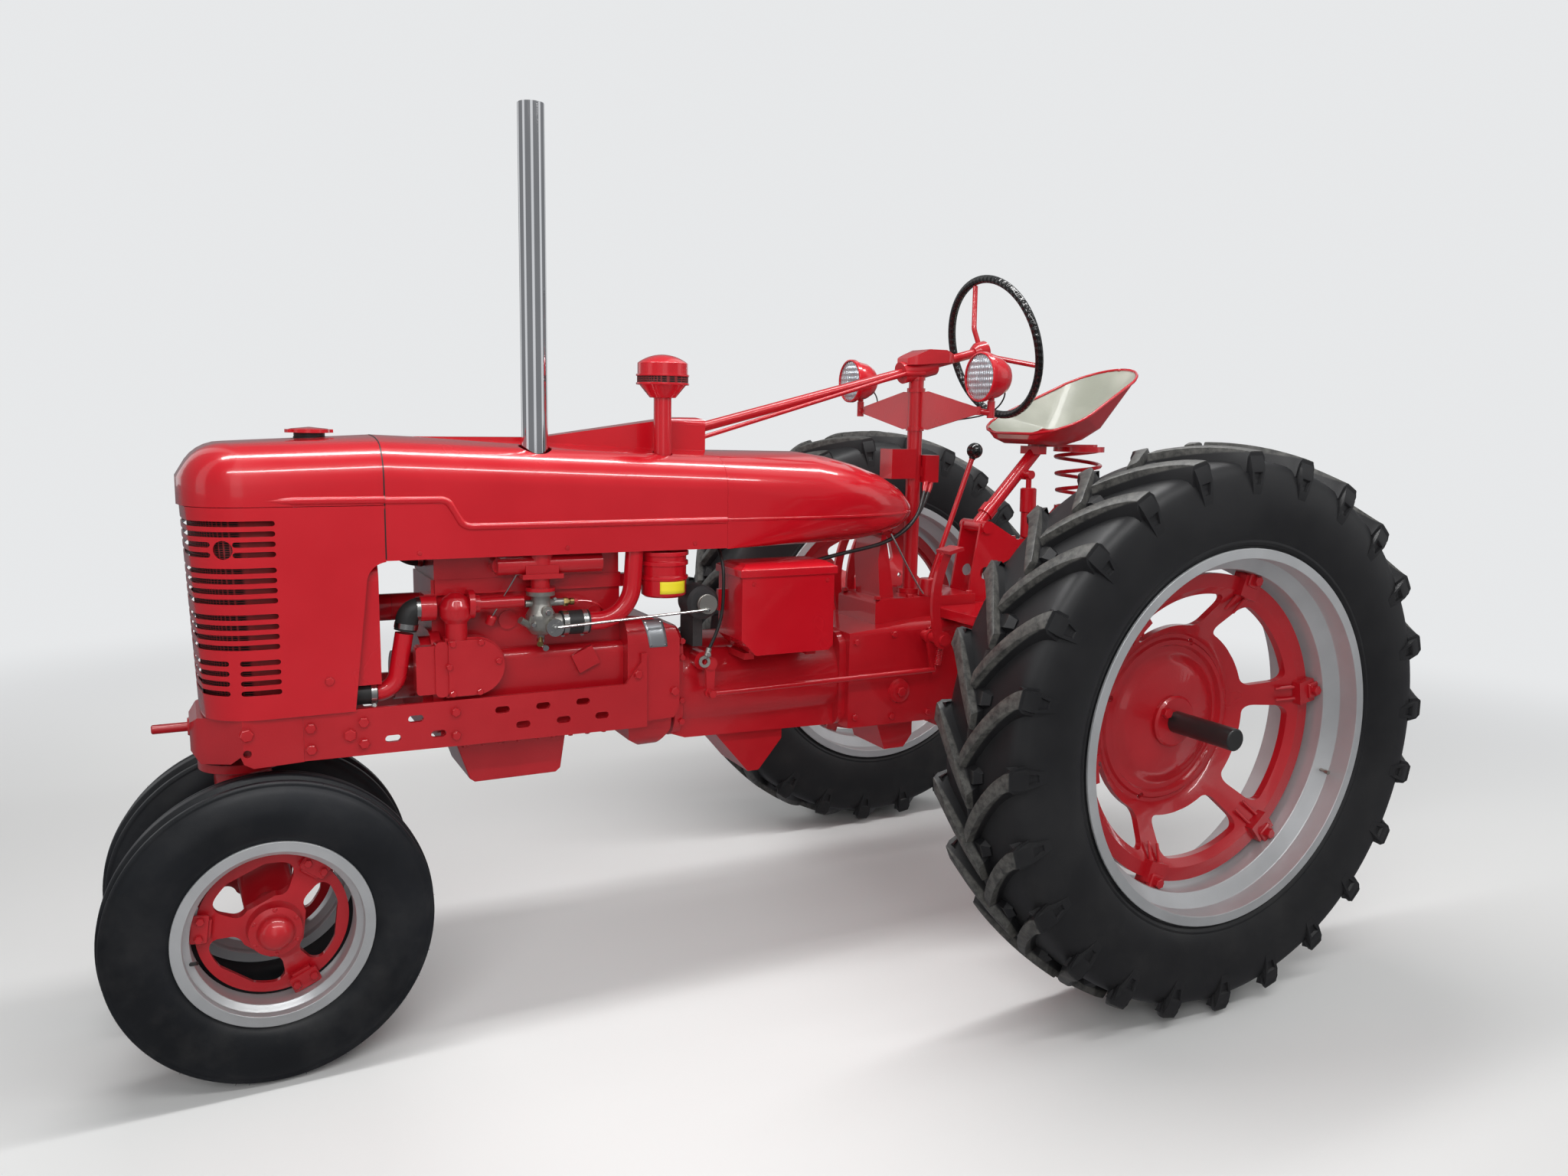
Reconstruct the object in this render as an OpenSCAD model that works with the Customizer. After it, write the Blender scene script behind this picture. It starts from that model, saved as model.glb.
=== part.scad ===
// Row-crop farm tractor with a narrow front, a petrol engine open at the sides and tall lugged rear tyres.
// X points forward, Y to the tractor's left and Z up. Lengths ahead are measured from the rear axle.

/* [Stance] */
// Rear axle to front axle
wheelbase = 2250; // [2230:5:2290]
// Middle of the left rear tyre to middle of the right one
rear_tread = 1683; // [1640:10:1760]
// Middle of the left front tyre to middle of the right one, at axle height
front_tread = 356; // [350:2:372]
// Lean of each front wheel, top outward, in degrees
front_camber = 2; // [1:0.5:3]

/* [Rear wheels] */
// Outer radius of a rear tyre at its lug tips
rear_tyre_r = 765; // [755:1:775]
// Width of a rear tyre at its sidewalls
rear_tyre_w = 324; // [316:1:332]
// Height of the tread lugs
rear_lug_h = 38; // [30:1:44]
// Lugs on each side of the tread
rear_lug_count = 24; // [20:1:26]
// Radius of the rear rim's bead seat
rear_seat_r = 482.6; // [478:0.1:486]
// Width of a rear rim over its flanges
rear_rim_w = 290; // [280:1:296]
// Radius of the cast centre of a rear wheel
rear_disc_r = 422; // [416:1:428]
// Radius of a rear axle shaft
rear_axle_r = 30; // [28:0.5:32]

/* [Front wheels] */
// Outer radius of a front tyre
front_tyre_r = 365; // [360:1:368]
// Width of a front tyre
front_tyre_w = 154; // [148:1:158]
// Radius of the front rim's bead seat
front_seat_r = 203; // [200:0.5:206]
// Width of a front rim over its flanges
front_rim_w = 128; // [124:1:132]
// Radius of the cast centre of a front wheel
front_disc_r = 168; // [164:1:172]

/* [Frame] */
// Width over the two frame rails
frame_w = 390; // [376:2:400]
// Thickness of a frame rail's plate
rail_t = 12; // [8:1:16]
// Height of a frame rail at its front
rail_h = 112; // [104:1:120]
// Height of the rails' top edge above the ground
rail_top_z = 871; // [866:1:876]
// Width of each slotted hole in the rails
slot_w = 17; // [14:1:22]
// Length of each slotted hole in the rails
slot_l = 36; // [30:1:46]

/* [Hood] */
// Width of the hood, grille and tank
hood_w = 412; // [400:2:424]
// Height of the hood's lower edge
hood_low_z = 1222; // [1216:1:1228]
// Height of the hood's crown at the nose
hood_top_z = 1512; // [1506:1:1518]
// Thickness of the sheet metal
sheet_t = 3; // [2:0.5:4]
// Radius of the hood's shoulders
shoulder_r = 92; // [84:1:100]
// Height of one louvre slot
louvre_h = 12; // [10:0.5:14]
// Spacing of the louvre slots in a group
louvre_pitch = 23; // [21:0.5:25]
// Spacing of the louvre groups
louvre_group = 105; // [100:1:108]

/* [Stacks] */
// Height of the exhaust stack's top
exhaust_top_z = 2312; // [2200:10:2400]
// Radius of the exhaust stack
exhaust_r = 32.5; // [28:0.5:36]
// Height of the air precleaner's top
precleaner_top_z = 1730; // [1700:5:1760]
// Radius of the precleaner's bowl
precleaner_r = 66; // [60:1:72]

/* [Controls] */
// Radius of the steering wheel to the middle of its rim
steer_rim_r = 216; // [205:1:225]
// Tilt of the steering shaft, in degrees
steer_tilt = 14.6; // [13:0.2:16]
// Radius of the steering post
post_r = 23; // [20:1:26]
// Radius of a headlamp
lamp_r = 70; // [64:1:76]
// Width of the seat
seat_w = 440; // [420:5:460]
// Length of the seat's rim
seat_l = 530; // [500:5:550]

/* [Hidden] */
$fn = 48;

tractor_red = "#b0131d";
rim_silver = "#b9bcc0";
tyre_black = "#1b1c1f";
bare_metal = "#8d8f92";
rubber_black = "#141416";
seam = 0.3;
// Round forms that would just touch stand back by this much
ease = 0.2;
bolt_r = 9;

// Wheels: places that the frame and the axles share
rear_x = -(wheelbase + front_tyre_r - rear_tyre_r) / 2;
rear_axle_z = rear_tyre_r;
rear_mid_y = rear_tread / 2;
rim_t = 8;
flange_h = 19;
rear_flange_r = rear_seat_r + flange_h;
rear_well_r = rear_seat_r - 36;
front_flange_r = front_seat_r + 17;
front_rib_half = 15;
front_sides = 48;
front_axle_z = front_tyre_r * cos(front_camber) + front_rib_half * sin(front_camber);
front_mid_y = front_tread / 2;
// Places ahead of the engine follow the front axle
nose_x = wheelbase + 150;
split_x = nose_x - 424;
bolster_front_x = nose_x + 4;
cheek_x = bolster_front_x - 106;
rail_front_x = bolster_front_x - 234;
radiator_x = nose_x - 340;
cap_x = radiator_x + 53;
shroud_x = radiator_x - 68;
fan_x = radiator_x - 75;
block_front_x = radiator_x - 200;
tank_split_x = 1097;

module from_rear_axle() {
    translate([rear_x, 0, 0]) children();
}

// Lays a lathe-turned piece with its axis along Z into a wheel's place on the left
module left_rear_wheel() {
    from_rear_axle() translate([0, rear_mid_y, rear_axle_z]) rotate([-90, 0, 0]) children();
}

module right_rear_wheel() {
    mirror([0, 1, 0]) left_rear_wheel() children();
}

module left_front_wheel() {
    from_rear_axle() translate([wheelbase, front_mid_y, front_axle_z])
        rotate([-90 + front_camber, 0, 0]) children();
}

module right_front_wheel() {
    mirror([0, 1, 0]) left_front_wheel() children();
}

module both_sides() {
    children();
    mirror([0, 1, 0]) children();
}

// A round bar from one point to another
module bar(a, b, r) {
    d = b - a;
    translate(a) rotate([0, atan2(norm([d[0], d[1]]), d[2]), atan2(d[1], d[0])]) cylinder(h = norm(d), r = r);
}

// Straights of a pipe run a little into its bends
pipe_lap = 3;

// A pipe that starts along Z. Each step: straight length, turn about the pipe, bend radius, bend angle
module pipe_run(steps, r, k = 0) {
    p = steps[k];
    first = k == 0;
    last = k == len(steps) - 1;
    translate([0, 0, first ? 0 : -pipe_lap])
        cylinder(h = p[0] + (first ? 0 : pipe_lap) + (last ? 0 : pipe_lap), r = r - ease);
    if (k < len(steps) - 1) translate([0, 0, p[0]]) rotate(p[1]) translate([p[2], 0, 0]) {
        rotate([90, 0, 180]) rotate_extrude(angle = p[3]) translate([p[2], 0]) circle(r);
        rotate([0, p[3], 0]) translate([-p[2], 0, 0]) pipe_run(steps, r, k + 1);
    }
}

// A plate in the side view, from y0 to y1
module side_plate(y0, y1) {
    translate([0, y1, 0]) rotate([90, 0, 0]) linear_extrude(y1 - y0) children();
}

// A bar with round ends, lying along X
module slot_2d(l, w) {
    square([l - w, w], center = true);
    for (s = [-1, 1]) translate([s * (l - w) / 2, 0]) circle(d = w);
}

// Wheel rims: a rolled section with two flanges, two bead seats and a well
module rim(seat_r, flange_r, well_r, w) {
    edge = w / 2;
    seat_end = edge - w * 0.2;
    well_end = edge - w * 0.29;
    outside = [
        [flange_r, edge], [flange_r, edge - rim_t], [seat_r, edge - rim_t - 3], [seat_r - 3, seat_end],
        [well_r, well_end], [well_r, -well_end], [seat_r - 3, -seat_end], [seat_r, -edge + rim_t + 3],
        [flange_r, -edge + rim_t], [flange_r, -edge]
    ];
    inside = [
        [seat_r - rim_t, -edge], [seat_r - rim_t, -seat_end - 4], [well_r - rim_t, -well_end - 4],
        [well_r - rim_t, well_end + 4], [seat_r - rim_t, seat_end + 4], [seat_r - rim_t, edge]
    ];
    rotate_extrude($fn = 96) polygon(concat(outside, inside));
}

module rear_rim_shape() {
    color(rim_silver) rim(rear_seat_r, rear_flange_r, rear_well_r, rear_rim_w);
}

module rear_rim_left() {
    left_rear_wheel() rear_rim_shape();
}

module rear_rim_right() {
    right_rear_wheel() rear_rim_shape();
}

// Rear tyre: a casing of flat facets, one to a lug, with alternate curved bars on each side of the tread
tread_r = rear_tyre_r - rear_lug_h;
carcass_sides = rear_lug_count;
bead_r = rear_seat_r / cos(180 / carcass_sides) + seam;
bead_z = rear_rim_w / 2 - rim_t - 3 - 1;
tyre_half = rear_tyre_w / 2;
carcass_half = [
    [bead_r, bead_z], [rear_flange_r + 3, bead_z + 1], [bead_r + 80, tyre_half - 4],
    [bead_r + 150, tyre_half - 1], [tread_r - 14, tyre_half - 24]
];
// Stations along a bar: offset from the tread's middle, tip radius, swept angle, tip width, depth
LUG = [
    [-14, rear_tyre_r, 0, 40, rear_lug_h + 8],
    [tyre_half - 11, rear_tyre_r - 18, 14, 46, rear_lug_h + 12],
    [tyre_half + 0.5, rear_tyre_r - 105, 16, 18, 26]
];

// Root and tip corners of a bar at one station
function lug_corners(p) = [for (c = [[0, -0.5], [0, 0.5], [1, 0.5], [1, -0.5]])
    let (r = p[1] - (1 - c[0]) * p[4], a = -p[2] + c[1] * (p[3] + (1 - c[0]) * 14) / p[1] * 180 / PI)
        [r * cos(a), r * sin(a), p[0]]];

module lug_segment(p, q) {
    hull() polyhedron(
        points = concat(lug_corners(p), lug_corners(q)),
        faces = [[0, 1, 2, 3], [7, 6, 5, 4], [0, 4, 5, 1], [1, 5, 6, 2], [2, 6, 7, 3], [3, 7, 4, 0]]
    );
}

module rear_tyre_shape() {
    half_step = 180 / rear_lug_count;
    color(tyre_black) union() {
        rotate_extrude($fn = carcass_sides)
            polygon(concat(carcass_half, [for (i = [len(carcass_half) - 1 : -1 : 0])
                [carcass_half[i][0], -carcass_half[i][1]]]));
        for (side = [0, 1]) mirror([0, 0, side]) for (i = [0 : rear_lug_count - 1])
            rotate([0, 0, 90 + (i + side / 2) * 2 * half_step]) for (k = [0 : len(LUG) - 2])
                lug_segment(LUG[k], LUG[k + 1]);
    }
}

module rear_tyre_left() {
    left_rear_wheel() rear_tyre_shape();
}

module rear_tyre_right() {
    right_rear_wheel() rear_tyre_shape();
}

// Cast rear centre: a dished plate with six windows, a ribbed hub pan and six rim clamps
disc_t = 16;
disc_face_z = 24;
pan_z = -88;
pan_r = 246;
hub_r = 72;
hub_face_z = -60;
hub_back_z = -150;
spoke_count = 6;
spoke_turn = 50;
window_out_r = 365;
window_in_r = 268;
window_half_a = 24;

function polar(r, a) = [r * cos(a), r * sin(a)];

// A window between two spokes: a sector of a ring whose four corners are round
module window_2d(in_r, out_r, half_angle, corner) {
    // Middle of a corner: distance from the axis, angle inside the window's side
    outer = [out_r - corner, half_angle - asin(corner / (out_r - corner))];
    inner = [in_r + corner, half_angle - asin(corner / (in_r + corner))];
    touch_out = sqrt(pow(outer[0], 2) - corner * corner);
    touch_in = sqrt(pow(inner[0], 2) - corner * corner);
    intersection() {
        difference() {
            circle(out_r);
            circle(in_r);
        }
        polygon([polar(in_r - corner, -inner[1]), polar(out_r + corner, -outer[1]),
            polar(out_r + corner, outer[1]), polar(in_r - corner, inner[1])]);
    }
    polygon([polar(touch_in, -half_angle), polar(touch_out, -half_angle),
        polar(touch_out, half_angle), polar(touch_in, half_angle)]);
    for (c = [outer, inner], s = [-1, 1]) translate(polar(c[0], s * c[1])) circle(corner - ease);
}

module rear_disc_shape() {
    ring_r = window_out_r + 8;
    face = [
        [rear_axle_r + 0.05, hub_face_z], [hub_r - 6, hub_face_z], [hub_r, hub_face_z - 6],
        [hub_r, hub_face_z - 16], [150, hub_face_z - 26], [192, pan_z - 18], [204, pan_z - 18],
        [210, pan_z - 6], [222, pan_z - 6], [228, pan_z - 12], [238, pan_z - 12], [pan_r, pan_z],
        [ring_r, disc_face_z - 12], [ring_r + 12, disc_face_z], [rear_disc_r, disc_face_z]
    ];
    back = [
        [rear_disc_r, disc_face_z - disc_t - 10], [ring_r + 12, disc_face_z - disc_t - 10],
        [ring_r + 12, disc_face_z - disc_t - 6],
        [pan_r, pan_z - disc_t - 6], [192, pan_z - 18 - disc_t], [140, pan_z - 20 - disc_t],
        [hub_r + 12, hub_back_z + 20], [hub_r, hub_back_z], [rear_axle_r + 0.05, hub_back_z]
    ];
    color(tractor_red) difference() {
        union() {
            rotate(-spoke_turn) rotate_extrude($fn = 96) polygon(concat(face, back));
            for (i = [0 : spoke_count - 1]) rotate(-spoke_turn - i * 360 / spoke_count) {
                translate([ring_r, -32, disc_face_z - 8])
                    cube([rear_well_r - rim_t - seam - ring_r - 8, 64, 26]);
                translate([rear_disc_r - 40, -24, disc_face_z - 30])
                    cube([rear_well_r - rim_t - seam - 1 - rear_disc_r + 40, 48, 36]);
            }
        }
        for (i = [0 : spoke_count - 1]) rotate(-spoke_turn - (i + 0.5) * 360 / spoke_count)
            translate([0, 0, pan_z - 60]) linear_extrude(200)
                window_2d(window_in_r, window_out_r, window_half_a, 26);
        for (i = [0 : 3]) rotate(-20 - i * 90) translate([225, 0, pan_z - 60]) cylinder(h = 100, r = bolt_r);
    }
}

module rear_disc_left() {
    left_rear_wheel() rear_disc_shape();
}

module rear_disc_right() {
    right_rear_wheel() rear_disc_shape();
}

// Rear axle shafts: from inside the housing out to the rim's outer face
carrier_end_y = 640;

module rear_axle_shape() {
    inner_z = carrier_end_y - 60 - rear_mid_y;
    color("#18181a") translate([0, 0, inner_z])
        rotate_extrude() polygon([
            [0, 0], [rear_axle_r, 0], [rear_axle_r, rear_rim_w / 2 - inner_z - 3],
            [rear_axle_r - 3, rear_rim_w / 2 - inner_z], [0, rear_rim_w / 2 - inner_z]
        ]);
}

module rear_axle_left() {
    left_rear_wheel() rear_axle_shape();
}

module rear_axle_right() {
    right_rear_wheel() rear_axle_shape();
}

// Front wheels
front_well_r = front_seat_r - 16;
front_disc_z = -16;
hub_cap_z = 78;

module front_rim_shape() {
    color(rim_silver) rim(front_seat_r, front_flange_r, front_well_r, front_rim_w);
}

module front_rim_left() {
    left_front_wheel() front_rim_shape();
}

module front_rim_right() {
    right_front_wheel() front_rim_shape();
}

// Front tyre: a casing of flat facets with three ribs round its tread
front_rib_h = 11;
front_casing_r = front_tyre_r - front_rib_h;
front_bead_r = front_seat_r / cos(180 / front_sides) + seam;
front_bead_z = front_rim_w / 2 - rim_t - 4;
front_half = front_tyre_w / 2;
// Half of the section, from the bead to the middle rib: radius, distance from the middle
front_section = [
    [front_bead_r, front_bead_z], [front_flange_r + 3, front_bead_z + 1], [front_flange_r + 22, front_half - 6],
    [front_flange_r + 62, front_half], [front_casing_r - 22, front_half - 10],
    [front_casing_r + 3, front_half - 24], [front_casing_r + 5, front_rib_half + 22],
    [front_casing_r - 6, front_rib_half + 14], [front_casing_r - 6, front_rib_half + 6],
    [front_tyre_r, front_rib_half]
];

module front_tyre_shape() {
    color(tyre_black) rotate_extrude($fn = front_sides)
        polygon(concat(front_section, [for (i = [len(front_section) - 1 : -1 : 0])
            [front_section[i][0], -front_section[i][1]]]));
}

module front_tyre_left() {
    left_front_wheel() front_tyre_shape();
}

module front_tyre_right() {
    right_front_wheel() front_tyre_shape();
}

// Cast front centre: three broad spokes with oval windows, a hub barrel and a domed cap
spindle_r = 22;
front_spoke_turn = 7;

module front_disc_shape() {
    clamp_end = front_well_r - rim_t - seam;
    color(tractor_red) difference() {
        union() {
            rotate(-front_spoke_turn) rotate_extrude($fn = 96) polygon([
                [spindle_r + 0.4, -64], [52, -64], [52, front_disc_z - 14], [front_disc_r, front_disc_z - 14],
                [front_disc_r, front_disc_z], [138, front_disc_z], [76, front_disc_z + 22],
                [62, front_disc_z + 26], [58, 44], [43, 50], [spindle_r + 0.4, 50]
            ]);
            translate([0, 0, 44]) rotate_extrude() intersection() {
                circle(r = 42);
                square([50, 50]);
            }
            for (i = [0 : 2]) rotate(-front_spoke_turn - i * 120)
                translate([front_disc_r - 34, -21, front_disc_z - 8])
                    cube([clamp_end - front_disc_r + 33, 42, 22]);
        }
        translate([0, 0, -70]) cylinder(h = 128, r = spindle_r + 0.4);
        for (i = [0 : 2]) rotate(-front_spoke_turn - 60 - i * 120) translate([0, 0, -60])
            linear_extrude(120) window_2d(74, 146, 46, 24);
    }
}

module front_disc_left() {
    left_front_wheel() front_disc_shape();
}

module front_disc_right() {
    right_front_wheel() front_disc_shape();
}

// Front pedestal: the cast column under the bolster that turns with both front wheels
steer_x = wheelbase + 44;
pedestal_top_z = 738;
bolster_low_z = 752;

module front_pedestal() {
    column_w = 120;
    plate_r = 97;
    color(tractor_red) from_rear_axle() {
        difference() {
            translate([steer_x, 0, 0]) rotate_extrude() polygon([
                [0, pedestal_top_z - 44], [58, pedestal_top_z - 44], [74, pedestal_top_z - 22],
                [plate_r, pedestal_top_z - 20], [plate_r, pedestal_top_z], [0, pedestal_top_z]
            ]);
            for (i = [0 : 5]) translate([steer_x + 84 * cos(i * 60), 84 * sin(i * 60), 680])
                cylinder(h = 80, r = bolt_r);
        }
        hull() {
            translate([steer_x, 0, pedestal_top_z - 60]) cylinder(h = 30, r = 64);
            translate([wheelbase, 0, front_axle_z]) rotate([90, 0, 0]) cylinder(h = column_w, r = 58, center = true);
        }
        translate([steer_x, 0, pedestal_top_z - 5]) cylinder(h = bolster_low_z - pedestal_top_z + 40, r = 34);
        both_sides() translate([wheelbase, front_mid_y, front_axle_z]) rotate([-90 + front_camber, 0, 0]) {
            translate([0, 0, -front_mid_y + 20]) cylinder(h = front_mid_y - 20 + 49, r = spindle_r);
            translate([0, 0, -front_mid_y + 20]) cylinder(h = front_mid_y - 20 - 70, r = 44);
        }
    }
}

// Front bolster: the casting that joins the rails and carries the pedestal and the starting-crank pin
pin_r = 11;
pin_len = 105;
pin_z = 820;

module front_bolster() {
    half = frame_w / 2;
    nose_half = 105;
    plan = [
        [rail_front_x, half], [cheek_x, half], [bolster_front_x - 44, nose_half + 20],
        [bolster_front_x - 14, nose_half - 14], [bolster_front_x, nose_half - 48],
        [bolster_front_x, -nose_half + 48], [bolster_front_x - 14, -nose_half + 14],
        [bolster_front_x - 44, -nose_half - 20], [cheek_x, -half], [rail_front_x, -half]
    ];
    side = [
        [rail_front_x, bolster_low_z + 6], [cheek_x - 20, bolster_low_z + 2], [cheek_x, bolster_low_z + 14],
        [cheek_x + 6, bolster_low_z + 30], [cheek_x + 26, bolster_low_z + 10], [bolster_front_x - 20, bolster_low_z],
        [bolster_front_x, bolster_low_z + 24], [bolster_front_x, 842], [bolster_front_x - 16, 860],
        [bolster_front_x - 70, grille_low_z - seam], [rail_front_x, grille_low_z - seam]
    ];
    color(tractor_red) from_rear_axle() difference() {
        union() {
            intersection() {
                translate([0, 0, bolster_low_z]) linear_extrude(rail_top_z - bolster_low_z) polygon(plan);
                side_plate(-half - 1, half + 1) polygon(side);
            }
            translate([bolster_front_x - 30, 0, pin_z]) rotate([0, 90, 0]) rotate_extrude() polygon([
                [0, 0], [26, 0], [26, 24], [20, 34], [pin_r, 34], [pin_r, pin_len + 2], [pin_r - 3, pin_len + 5],
                [0, pin_len + 5]
            ]);
        }
        translate([rail_front_x - 1, -half + 24, bolster_low_z - 1])
            cube([70, frame_w - 48, rail_top_z - bolster_low_z - 24]);
        translate([steer_x, 0, bolster_low_z - 1]) cylinder(h = 70, r = 34 + seam);
        both_sides() translate([cheek_x - 8, half - 30, 790]) rotate([-90, 0, 0]) cylinder(h = 60, r = bolt_r);
        translate([bolster_front_x + pin_len - 45, 0, pin_z - 20]) cylinder(h = 40, r = 3);
    }
}

// Frame rails: a plate each side, with slotted holes and a flange up the bell housing
rail_rear_x = 1322;
flange_top_z = 949;
// Slots: distance ahead of the rear axle, height
RAIL_SLOTS = [[split_x - 5, 791], [split_x - 59, 834], [split_x - 112, 791], [1707, 835], [1655, 792],
    [1603, 835], [1550, 793], [1498, 836], [1447, 794]];

module frame_rails() {
    half = frame_w / 2;
    low_z = rail_top_z - rail_h;
    color(tractor_red) from_rear_axle() both_sides() difference() {
        side_plate(half - rail_t, half) difference() {
            polygon([
                [rail_front_x - seam, low_z], [rail_front_x - seam, rail_top_z], [1380, rail_top_z - 1],
                [1338, 927], [1338, flange_top_z], [rail_rear_x, flange_top_z], [rail_rear_x, low_z - 10]
            ]);
            for (p = RAIL_SLOTS) translate(p) slot_2d(slot_l, slot_w);
        }
    }
}

// Radiator: core and tanks as one block behind the grille

module radiator() {
    color("#2a2a2c") from_rear_axle() {
        translate([radiator_x, -185, 905]) cube([70, 370, 401]);
        translate([radiator_x - 10, -190, rail_top_z + seam]) cube([90, 380, 38]);
        translate([radiator_x - 10, -190, 1305]) cube([90, 380, 70]);
        translate([cap_x, 0, 1370]) cylinder(h = 132, r = 26);
        translate([cap_x, 0, 1494]) cylinder(h = 8, r = 38);
    }
}

// Shroud: a sheet box behind the radiator with a round opening for the fan
shroud_open_r = 176;

module fan_shroud() {
    half = 186;
    color(tractor_red) from_rear_axle() difference() {
        along_x(shroud_x, radiator_x - 10 - seam - shroud_x) {
            translate([-half, 925]) square([2 * half, 250]);
            translate([-half + 60, 925]) square([2 * half - 120, 310]);
            for (s = [-1, 1]) translate([s * (half - 60), 1175]) circle(60 - ease);
        }
        along_x(shroud_x + sheet_t, 100) {
            translate([-half + sheet_t, 925 + sheet_t]) square([2 * half - 2 * sheet_t, 246]);
            translate([-half + 62, 930]) square([2 * half - 124, 302]);
            for (s = [-1, 1]) translate([s * (half - 60), 1173]) circle(58);
        }
        along_x(shroud_x - 1, 20) translate([0, fan_z]) circle(shroud_open_r);
    }
}

// Nose plan: straight sides, round corners and a slightly crowned front
nose_corner_r = 128;

module nose_plan_2d(inset) {
    half = hood_w / 2 - inset;
    r = nose_corner_r - inset;
    square_x = nose_x - inset - r;
    intersection() {
        union() {
            translate([split_x - 60, -half]) square([square_x - split_x + 60, 2 * half]);
            translate([split_x - 60, -half + r]) square([nose_x - inset - split_x + 60, 2 * (half - r)]);
            for (s = [-1, 1]) translate([square_x, s * (half - r)]) circle(r, $fn = 64);
        }
        translate([nose_x - inset - 760, 0]) circle(760, $fn = 128);
    }
}

// Grille: the lower sheet, leaning back slightly, with four groups of louvre slots wrapped round its front
grille_top_z = 1352;
grille_low_z = 869;
grille_lean = 2.2;
louvre_rear_x = nose_x - 188;
louvre_top_z = 1322;

module leaned(z0, h) {
    translate([nose_x, 0, grille_top_z]) rotate([0, grille_lean, 0])
        translate([-nose_x, 0, z0 - grille_top_z - 20]) linear_extrude(h + 40) children();
}

module grille() {
    low_x = nose_x - 345;
    arch_r = 45;
    arch_z = 1170;
    color(tractor_red) from_rear_axle() difference() {
        leaned(grille_low_z, grille_top_z - grille_low_z) difference() {
            nose_plan_2d(0);
            nose_plan_2d(sheet_t);
        }
        side_plate(-hood_w, hood_w) {
            translate([1700, grille_top_z - seam]) square([900, 100]);
            translate([1700, grille_low_z - 100]) square([900, 100]);
            translate([split_x - 400, 700]) square([400, 800]);
            translate([split_x - 5, arch_z]) circle(arch_r + 5);
            polygon([[split_x - 60, arch_z], [split_x + arch_r, arch_z], [low_x, grille_low_z - 1],
                [split_x - 60, grille_low_z - 1]]);
        }
        side_plate(-hood_w, hood_w) for (g = [0 : 3], k = [0 : 3])
            translate([louvre_rear_x, louvre_top_z - g * louvre_group - k * louvre_pitch]) louvre_2d(g, k);
        both_sides() translate([nose_x - 80, 196, louvre_top_z - 2.5 * louvre_pitch - louvre_h / 2])
            rotate([-90, 0, -23]) cylinder(h = 60, r = 21, center = true);
    }
}

// One louvre slot in the side view: it runs on round the front unless its row is broken at the corner
module louvre_2d(group, row) {
    run = 260;
    broken = group == 0 && row > 1 || group == 3;
    // Where the solid metal at the corner starts and ends, ahead of the slot's rear end
    gap = group == 3 ? [84, 106] : [88, 132];
    if (broken) {
        translate([gap[0] / 2, -louvre_h / 2]) slot_2d(gap[0], louvre_h);
        translate([(gap[1] + run) / 2, -louvre_h / 2]) slot_2d(run - gap[1], louvre_h);
    } else {
        translate([run / 2, -louvre_h / 2]) slot_2d(run, louvre_h);
    }
}

// Hood section: flat sides with round shoulders under a low crown
crown_r = 700;

module hood_2d(inset, top_z, low_z) {
    half = hood_w / 2 - inset;
    r = shoulder_r - inset;
    side = half - r;
    crown_z = top_z - crown_r;
    shoulder_z = crown_z + sqrt(pow(crown_r - shoulder_r, 2) - side * side);
    join_y = side * crown_r / (crown_r - shoulder_r);
    translate([-half, low_z]) square([2 * half, shoulder_z - low_z]);
    for (s = [-1, 1]) translate([s * side, shoulder_z]) circle(r);
    intersection() {
        translate([0, crown_z]) circle(crown_r - inset);
        translate([-join_y, shoulder_z - 5]) square([2 * join_y, top_z]);
    }
}

module along_x(x0, l) {
    translate([x0, 0, 0]) rotate([90, 0, 90]) linear_extrude(l) children();
}

// Nose cap: the upper sheet, rounded over the front and closed down to the grille's seam
nose_low_z = 1353;

module nose_solid(inset) {
    r = 96 - inset;
    front = nose_x - inset;
    half = hood_w / 2 - inset;
    hull() {
        along_x(split_x - (inset > 0 ? 20 : 0), 2) intersection() {
            hood_2d(inset, hood_top_z, nose_low_z - inset);
            translate([-half, nose_low_z - inset]) square([2 * half, 300]);
        }
        for (s = [-1, 1]) translate([front - nose_corner_r + inset, s * (half - nose_corner_r + inset), 0]) {
            translate([0, 0, nose_low_z - inset]) cylinder(h = 1, r = nose_corner_r - inset, $fn = 32);
            translate([0, 0, 1492 - inset - r]) rotate_extrude($fn = 32)
                translate([nose_corner_r - inset - r, 0]) intersection() {
                    circle(r, $fn = 32);
                    square(r);
                }
        }
        translate([front - 40, -60, nose_low_z - inset]) cube([46, 120, 60]);
    }
}

module nose_cap() {
    point_x = nose_x - 168;
    half = hood_w / 2;
    color(tractor_red) from_rear_axle() difference() {
        union() {
            nose_solid(0);
            both_sides() difference() {
                translate([split_x + seam, half, moulding_high_z + 2]) rotate([0, 90, 0]) rotate_extrude() polygon([
                    [0, 0], [moulding_r, 0], [moulding_r, point_x - 60 - split_x], [0, point_x - split_x]
                ]);
                translate([split_x - 1, 0, moulding_low_z]) cube([400, half - 1.5, 200]);
            }
        }
        nose_solid(sheet_t);
        translate([cap_x, 0, 1400]) cylinder(h = 200, r = 42);
    }
}

module radiator_cap() {
    color(tractor_red) from_rear_axle() translate([cap_x, 0, 0]) {
        translate([0, 0, 1502.3]) cylinder(h = 14, r = 34);
        translate([0, 0, 1515]) rotate_extrude() polygon([[0, 0], [47, 0], [47, 8], [40, 10], [0, 14]]);
        for (a = [20, 200]) rotate(a) translate([30, -9, 1515]) cube([26, 18, 8]);
    }
}

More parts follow.
